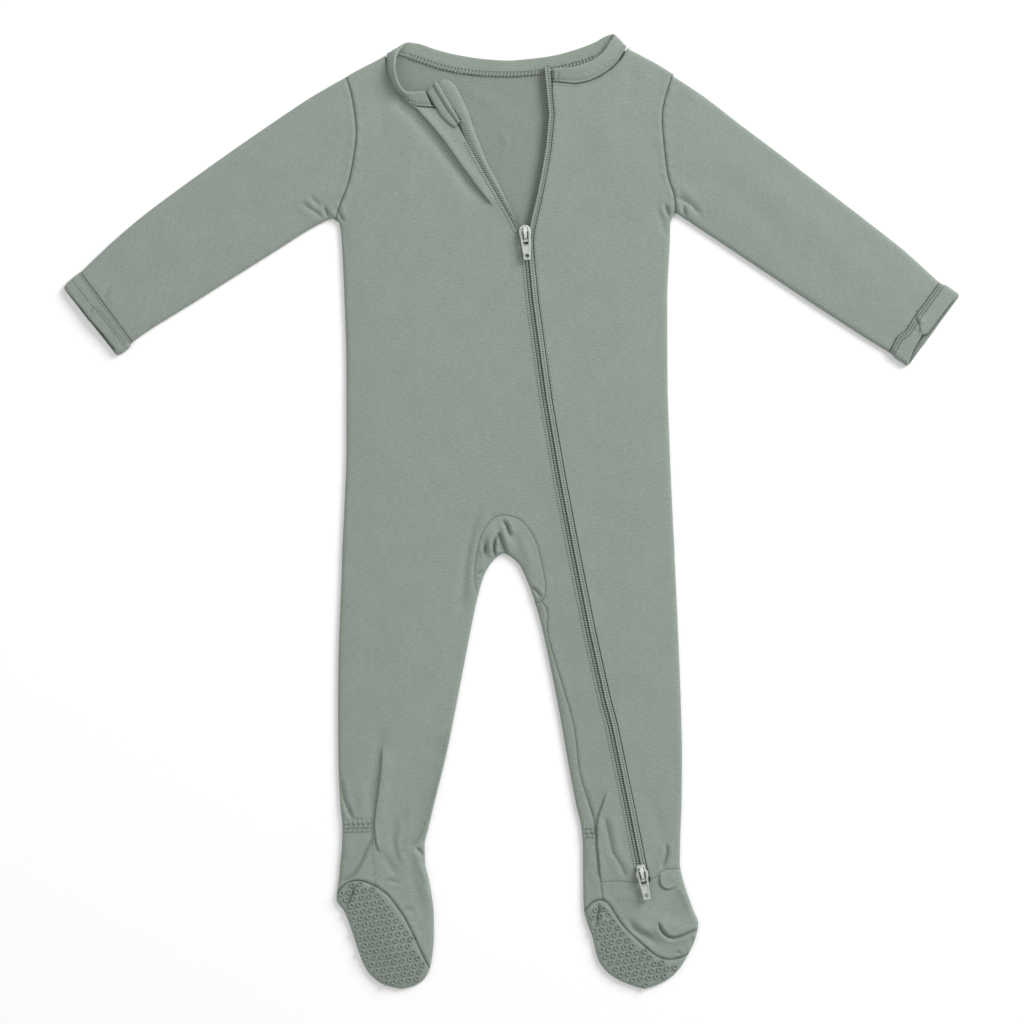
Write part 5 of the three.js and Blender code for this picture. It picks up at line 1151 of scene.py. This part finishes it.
addDots("gripDotsLeft", made["soleLeftPanel"], (-114, -52, -311, -240), "soleLeft")
addDots("gripDotsRight", made["soleRightPanel"], (46, 122, -311, -252), "soleRight")

# Sliders and pulls: zinc alloy, die cast and enamelled in pale sage, with a painted highlight along their thin rims
metal = {
    "colour": "#b9c2b6", "paintedEdgeHighlight": "#dde1da", "roughness": 0.34, "bevel": 0.22,
    "plateWidth": 8.2, "plateTop": 3.7, "plateBottom": -7.2, "dome": 0.7,  # mm, lengths from the pull's axis
    "crownTop": 2.5, "crownEnd": 1.8, "eye": 3.4, "tip": 2.3, "pullLength": 19.0, "pullThickness": 1.2, "field": 0.35,
    "windowTop": 2.15, "windowEnd": 1.85, "holeRadius": 1.35, "holeInset": 2.6,
    "upper": {"axis": (9.0, 182.1, 8.8792), "turn": 0.085, "wide": 1},
    "lower": {"axis": (84.6, -233.0, 8.599), "turn": 0.2, "wide": -1},
}


def enamelMaterial():
    material, tree = newMaterial("zinc, die cast and enamelled")
    place = node(tree, "TexCoord").outputs["Object"]
    grain = node(tree, "TexNoise", {"Vector": place, "Scale": 1300, "Detail": 2.0})
    # painted highlight: a lighter colour on sharp convex edges
    edges = node(tree, "NewGeometry").outputs["Pointiness"]
    paintedEdgeHighlight = node(tree, "MapRange", {"Value": edges, "From Min": 0.5, "From Max": 0.56, "To Min": 0.0, "To Max": 0.85})
    speck = node(tree, "Mix", {0: grain.outputs["Fac"], 6: srgb(metal["colour"]), 7: srgb("#aeb8ad")}, data_type="RGBA")
    colour = node(tree, "Mix", {0: paintedEdgeHighlight.outputs[0], 6: speck.outputs[2], 7: srgb(metal["paintedEdgeHighlight"])}, data_type="RGBA")
    bump = node(tree, "Bump", {"Height": grain.outputs["Fac"], "Strength": 0.12, "Distance": 0.0001})
    shader = node(tree, "BsdfPrincipled", {"Base Color": colour.outputs[2], "Roughness": metal["roughness"],
                                           "Metallic": 0.15, "Normal": bump.outputs[0], "Coat Weight": 0.3,
                                           "Coat Roughness": 0.2})
    node(tree, "OutputMaterial", {"Surface": shader.outputs[0]})
    return material


enamel = enamelMaterial()


def plateMesh(name, outlines, thickness, bevel):  # a flat plate with holes and rounded edges, from closed outlines
    curve = bpy.data.curves.new(name, "CURVE")
    curve.dimensions, curve.fill_mode = "2D", "BOTH"
    curve.extrude, curve.bevel_depth, curve.bevel_resolution = (thickness / 2 - bevel), bevel, 2
    curve.offset = -bevel
    for outline in outlines:
        spline = curve.splines.new("POLY")
        spline.points.add(len(outline) - 1)
        for point, (x, y) in zip(spline.points, outline):
            point.co = (x, y, 0, 1)
        spline.use_cyclic_u = True
    holder = bpy.data.objects.new(name, curve)
    bpy.context.scene.collection.objects.link(holder)
    mesh = bpy.data.meshes.new_from_object(holder.evaluated_get(bpy.context.evaluated_depsgraph_get()))
    bpy.data.objects.remove(holder)
    vertices = [tuple(v.co) for v in mesh.vertices]
    faces = [tuple(p.vertices) for p in mesh.polygons]
    bpy.data.meshes.remove(mesh)
    return vertices, faces


def moved(part, place=(0, 0, 0), turns=()):
    matrix = Matrix.Translation(place)
    for angle, axis in turns:
        matrix = matrix @ Matrix.Rotation(angle, 4, axis)
    return [tuple(matrix @ Vector(v)) for v in part[0]], part[1]


def roundedOutline(corners, radius, steps=5):
    outline = []
    count = len(corners)
    for i, corner in enumerate(corners):
        here, before, after = Vector(corner), Vector(corners[i - 1]), Vector(corners[(i + 1) % count])
        size = min(radius, (before - here).length / 2, (after - here).length / 2)
        first, last = here + (before - here).normalized() * size, here + (after - here).normalized() * size
        for k in range(steps + 1):
            t = k / steps
            outline.append(tuple(first * (1 - t) ** 2 + here * 2 * t * (1 - t) + last * t * t))
    return outline


def circle(x, y, radius, count=16):
    return [(x + radius * math.cos(2 * math.pi * k / count), y + radius * math.sin(2 * math.pi * k / count))
            for k in range(count)]


for sideName in ("upper", "lower"):
    spec = metal[sideName]
    x, y, axisZ = spec["axis"]
    half = metal["plateWidth"] / 2
    top, low = metal["plateTop"], metal["plateBottom"]
    body = roundedOutline([(-half * 0.6, low), (half * 0.6, low), (half * 0.72, -3.6), (half, -2.2), (half * 0.98, -0.4),
                           (half * 0.86, 1.9), (half * 0.34, top), (-half * 0.34, top), (-half * 0.86, 1.9),
                           (-half * 0.98, -0.4), (-half, -2.2), (-half * 0.72, -3.6)], 1.0)
    slot = roundedOutline([(-1.75, 1.7), (1.75, 1.7), (1.75, -5.4), (-1.75, -5.4)], 0.5)
    if spec["wide"] < 0:
        body = [(-px, top + low - py) for px, py in body]
    clothZ = float(clothUnder(np.array([[x, y]]))[0])
    coverZ = clothZ + 1.4
    cover = plateMesh("cover", [body, slot], 1.0, 0.3)
    cover = [(px, py, pz + metal["dome"] * (1 - (px / half) ** 2) * (pz > 0)) for px, py, pz in cover[0]], cover[1]
    bodyParts = [
        moved(cover, (0, 0, coverZ + 0.5 - axisZ)),
        moved(plateMesh("sole", [body], 0.8, 0.3), (0, 0, clothZ - 0.6 - 1.0 - 0.3 - 0.4 - axisZ)),
    ]
    bridge = [(-5.6, -1.1), (-4.7, -1.1), (-4.6, 0.5), (-4.1, 1.0), (0.9, 1.0), (1.4, 0.5), (1.5, -1.1), (2.4, -1.1),
              (2.3, 0.9), (1.3, 1.9), (-4.5, 1.9), (-5.5, 0.9)]
    crown = moved(plateMesh("bridge", [bridge], metal["crownTop"], 0.35), (0, 0, 0),
                  [(math.pi / 2, "Z"), (math.pi / 2, "X")])
    narrow = (metal["crownTop"] - metal["crownEnd"]) / metal["crownTop"] / 8
    bodyParts.append(([(px * (1 - narrow * (2.4 - py)), py, pz) for px, py, pz in crown[0]], crown[1]))
    postY = top - 1 if spec["wide"] > 0 else low + 1
    bodyParts.append(moved(plateMesh("post", [circle(0, 0, 0.6, 10)], coverZ - clothZ + 2.2, 0.1),
                           (0, postY, (coverZ + clothZ) / 2 - axisZ - 0.8)))
    vertices, faces = joined(bodyParts)
    vertices = [tuple(v) for v in (np.array(vertices) @ np.array(Matrix.Rotation(spec["turn"], 3, "Z")).T
                                   + np.array([x, y, axisZ]))]
    addPiece("slider" + sideName.title(), vertices, faces, [enamel], "painted_zinc", ["slider_" + sideName])
    length, eye, tip = metal["pullLength"], metal["eye"], metal["tip"]
    outline = roundedOutline([(-eye, 0.5), (-eye, -4.0), (-tip, -16.5), (-tip, -length), (tip, -length),
                              (tip, -16.5), (eye, -4.0), (eye, 0.5)], 1.2)
    wide, end = metal["windowTop"], metal["windowEnd"]
    window = roundedOutline([(-wide, -0.5), (wide, -0.5), (end, -9.2), (-end, -9.2)], 1.0)
    hole = circle(0, metal["holeInset"] - length, metal["holeRadius"])
    field = roundedOutline([(-1.95, -9.9), (1.95, -9.9), (1.55, -14.2), (-1.55, -14.2)], 0.6)
    rims = plateMesh("rims", [outline, window, hole, field], metal["pullThickness"], metal["bevel"])
    web = plateMesh("web", [[(px * 1.2, py * 1.03 + 0.35) for px, py in field]],
                    metal["pullThickness"] - 2 * metal["field"], 0.05)
    vertices, faces = joined([rims, web])
    vertices = [tuple(v) for v in (np.array(vertices) @ np.array(Matrix.Rotation(spec["turn"], 3, "Z")).T
                                   + np.array([x, y, axisZ]))]
    addPiece("pull" + sideName.title(), vertices, faces, [enamel], "painted_zinc", ["pull_" + sideName],
             body="pull_" + sideName + "_body")
print("sliders and pulls made")

# Rows of stitches. Each row gives where its stitches start and end in plan.
threadGrey = plainMaterial("polyester thread, spun, in the cloth's shade", "#7f8b83", 0.8, 1500, 0.05, dark="#747f78")
sewing = {"thick": 0.34, "wide": 1.3, "rise": 0.12}  # mm, share of the thickness, mm above the cloth


def plainRow(line, offset, length, pitch):  # stitches along a line, offset to the right of its direction
    path = resample(offsetLine(resample(line, 1.0), offset), pitch)
    way = np.gradient(path, axis=0)
    way /= np.hypot(*way.T)[:, None]
    return path - way * length / 2, path + way * length / 2


def crossRow(line, near, far, pitch, slant=0.0):  # stitches across a line
    path = resample(line, pitch)
    way = np.gradient(path, axis=0)
    way /= np.hypot(*way.T)[:, None]
    return offsetLine(path, near), offsetLine(path, far) + way * slant


def zigzagRow(line, near, far, pitch):
    path = resample(line, pitch)
    turns = np.where((np.arange(len(path)) % 2 == 0)[:, None], offsetLine(path, near), offsetLine(path, far))
    return turns[:-1], turns[1:]


def addStitches(name, material, rows, thick=1.0, lift=0.0, rise=sewing["rise"], flatZ=None):
    starts, ends = (np.vstack(part) for part in zip(*rows))
    if flatZ is None:
        zStart, zEnd = upperHeights(starts, lift) + rise, upperHeights(ends, lift) + rise
    else:
        zStart = zEnd = np.full(len(starts), flatZ)
    thick = sewing["thick"] * thick
    vertices, faces = bars(np.column_stack([starts, zStart]), np.column_stack([ends, zEnd]),
                           thick * sewing["wide"], thick)
    return addPiece(name, vertices, faces, [material], "jersey")


onTape = sewing["rise"] - zipPiece["tapeDrop"]
cuffHemLeft = [(-279.8, 155.4), (-246.2, 110.0)]
cuffRowLeft = [(-284.4, 149.4), (-270.0, 131.5), (-251.7, 108.7)]
cuffHemRight = seams["hemRight"][1:-1]
inNeck = [(x, y) for x, y in resample(neckBack, 1.0) if -66 < x < 55]
leftLine = [*zipLeftOpen[3:], *zipClosed, zipEnd]
addStitches("zipTopstitch", threadGrey, [plainRow(leftLine, 4.1, 1.2, 1.8), crossRow(leftLine, 3.0, 4.0, 1.8)], 0.8)
addStitches("zipTapeStitch", threadDark,
            [plainRow([*zipRightOpen, *zipClosed, zipEnd], -2.45, 0.9, 1.6), plainRow(zipRightOpen, -3.3, 0.9, 1.6),
             plainRow(zipLeftOpen[4:], 2.0, 0.9, 1.6)], 1.0, rise=onTape)
addStitches("zipOuterStitch", threadSage, [plainRow([*zipRightOpen, *zipClosed[:3]], -5.4, 1.5, 2.4)], 0.9)
addStitches("neckTopstitchLeft", threadSage, [plainRow(neckFrontLeft[1:], -1.2, 1.8, 2.5)], 0.9)
addStitches("neckTopstitchRight", threadSage, [plainRow(neckFrontRight[:-1], 1.2, 1.8, 2.5)], 0.9)
addStitches("neckOverlock", threadSage, [crossRow(inNeck, -0.2, -3.3, 2.3, 0.6), plainRow(inNeck, -0.5, 1.7, 2.3),
                                         plainRow(inNeck, -3.4, 1.5, 2.3)], 1.5, flatZ=2.3)
addStitches("cuffLeftStitch", threadDark, [plainRow(cuffRowLeft, 0.0, 1.1, 1.9)], 0.8, lift=1.2)
addStitches("cuffLeftLoops", threadGrey, [crossRow(cuffRowLeft[1:], -0.5, -3.2, 1.5, 0.2),
                                          plainRow(cuffHemLeft, 1.0, 1.2, 1.7)], 0.8, lift=1.2)
addStitches("cuffRightStitch", threadGrey, [zigzagRow(cuffHemRight, -1.0, -2.3, 0.9),
                                            zigzagRow(cuffHemRight, -2.9, -4.2, 0.9)], 0.85, lift=1.2)
heelRows = [[(-108.0, -202.6), (-91.2, -202.2)], [(-108.0, -205.2), (-91.2, -204.8)], [(-108.0, -207.8), (-91.2, -207.4)],
            [(47.2, -205.6), (55.0, -205.6)], [(47.2, -208.4), (55.0, -208.4)], [(47.2, -211.2), (55.0, -211.2)]]
addStitches("heelElasticStitch", threadSage, [zigzagRow(row, -0.9, 0.9, 1.0) for row in heelRows], 1.2, rise=0.35)
addStitches("neckTack", threadDark, [plainRow([(31.2, 285.0), (31.4, 279.8)], 0.0, 1.0, 1.5)], 1.0, rise=1.3)
print("stitches made")

# Stage, light and camera
stage = {"frame": 0.6656, "centre": (0.00065, -0.00033), "lens": 100.0, "height": 0.004}
floorMaterial, tree = newMaterial("paper, matt white")
shader = node(tree, "BsdfPrincipled", {"Base Color": srgb("#fefefe"), "Roughness": 0.9, "Specular IOR Level": 0.1,
                                          "Emission Color": srgb("#ffffff"), "Emission Strength": 0.09})
node(tree, "OutputMaterial", {"Surface": shader.outputs[0]})
floorMesh = bpy.data.meshes.new("floor")
floorMesh.from_pydata([(-3, -3, 0), (3, -3, 0), (3, 3, 0), (-3, 3, 0)], [], [(0, 1, 2, 3)])
floorMesh.materials.append(floorMaterial)
floor = bpy.data.objects.new("floor", floorMesh)
bpy.context.scene.collection.objects.link(floor)

world = bpy.data.worlds.new("studio")
bpy.context.scene.world = world
world.use_nodes = True
world.node_tree.nodes["Background"].inputs["Color"].default_value = (1.0, 1.0, 1.0, 1.0)
world.node_tree.nodes["Background"].inputs["Strength"].default_value = 0.44
for name, place, size, power in (("softboxRight", (2.2, 1.9, 1.9), 1.7, 100.0), ("softboxLeft", (-1.5, 0.2, 2.0), 1.6, 10.0)):
    light = bpy.data.lights.new(name, "AREA")
    light.size, light.energy = size, power
    lamp = bpy.data.objects.new(name, light)
    lamp.location = place
    lamp.rotation_euler = (-Vector(place)).to_track_quat("-Z", "Y").to_euler()
    bpy.context.scene.collection.objects.link(lamp)

camera = bpy.data.cameras.new("camera")
camera.lens, camera.sensor_width = stage["lens"], 36.0
camera.clip_start, camera.clip_end = 0.05, 20.0
view = bpy.data.objects.new("camera", camera)
distance = stage["frame"] * stage["lens"] / 36.0
view.location = (*stage["centre"], distance + stage["height"])
bpy.context.scene.collection.objects.link(view)
bpy.context.scene.camera = view
bpy.context.scene.view_settings.view_transform = "Standard"
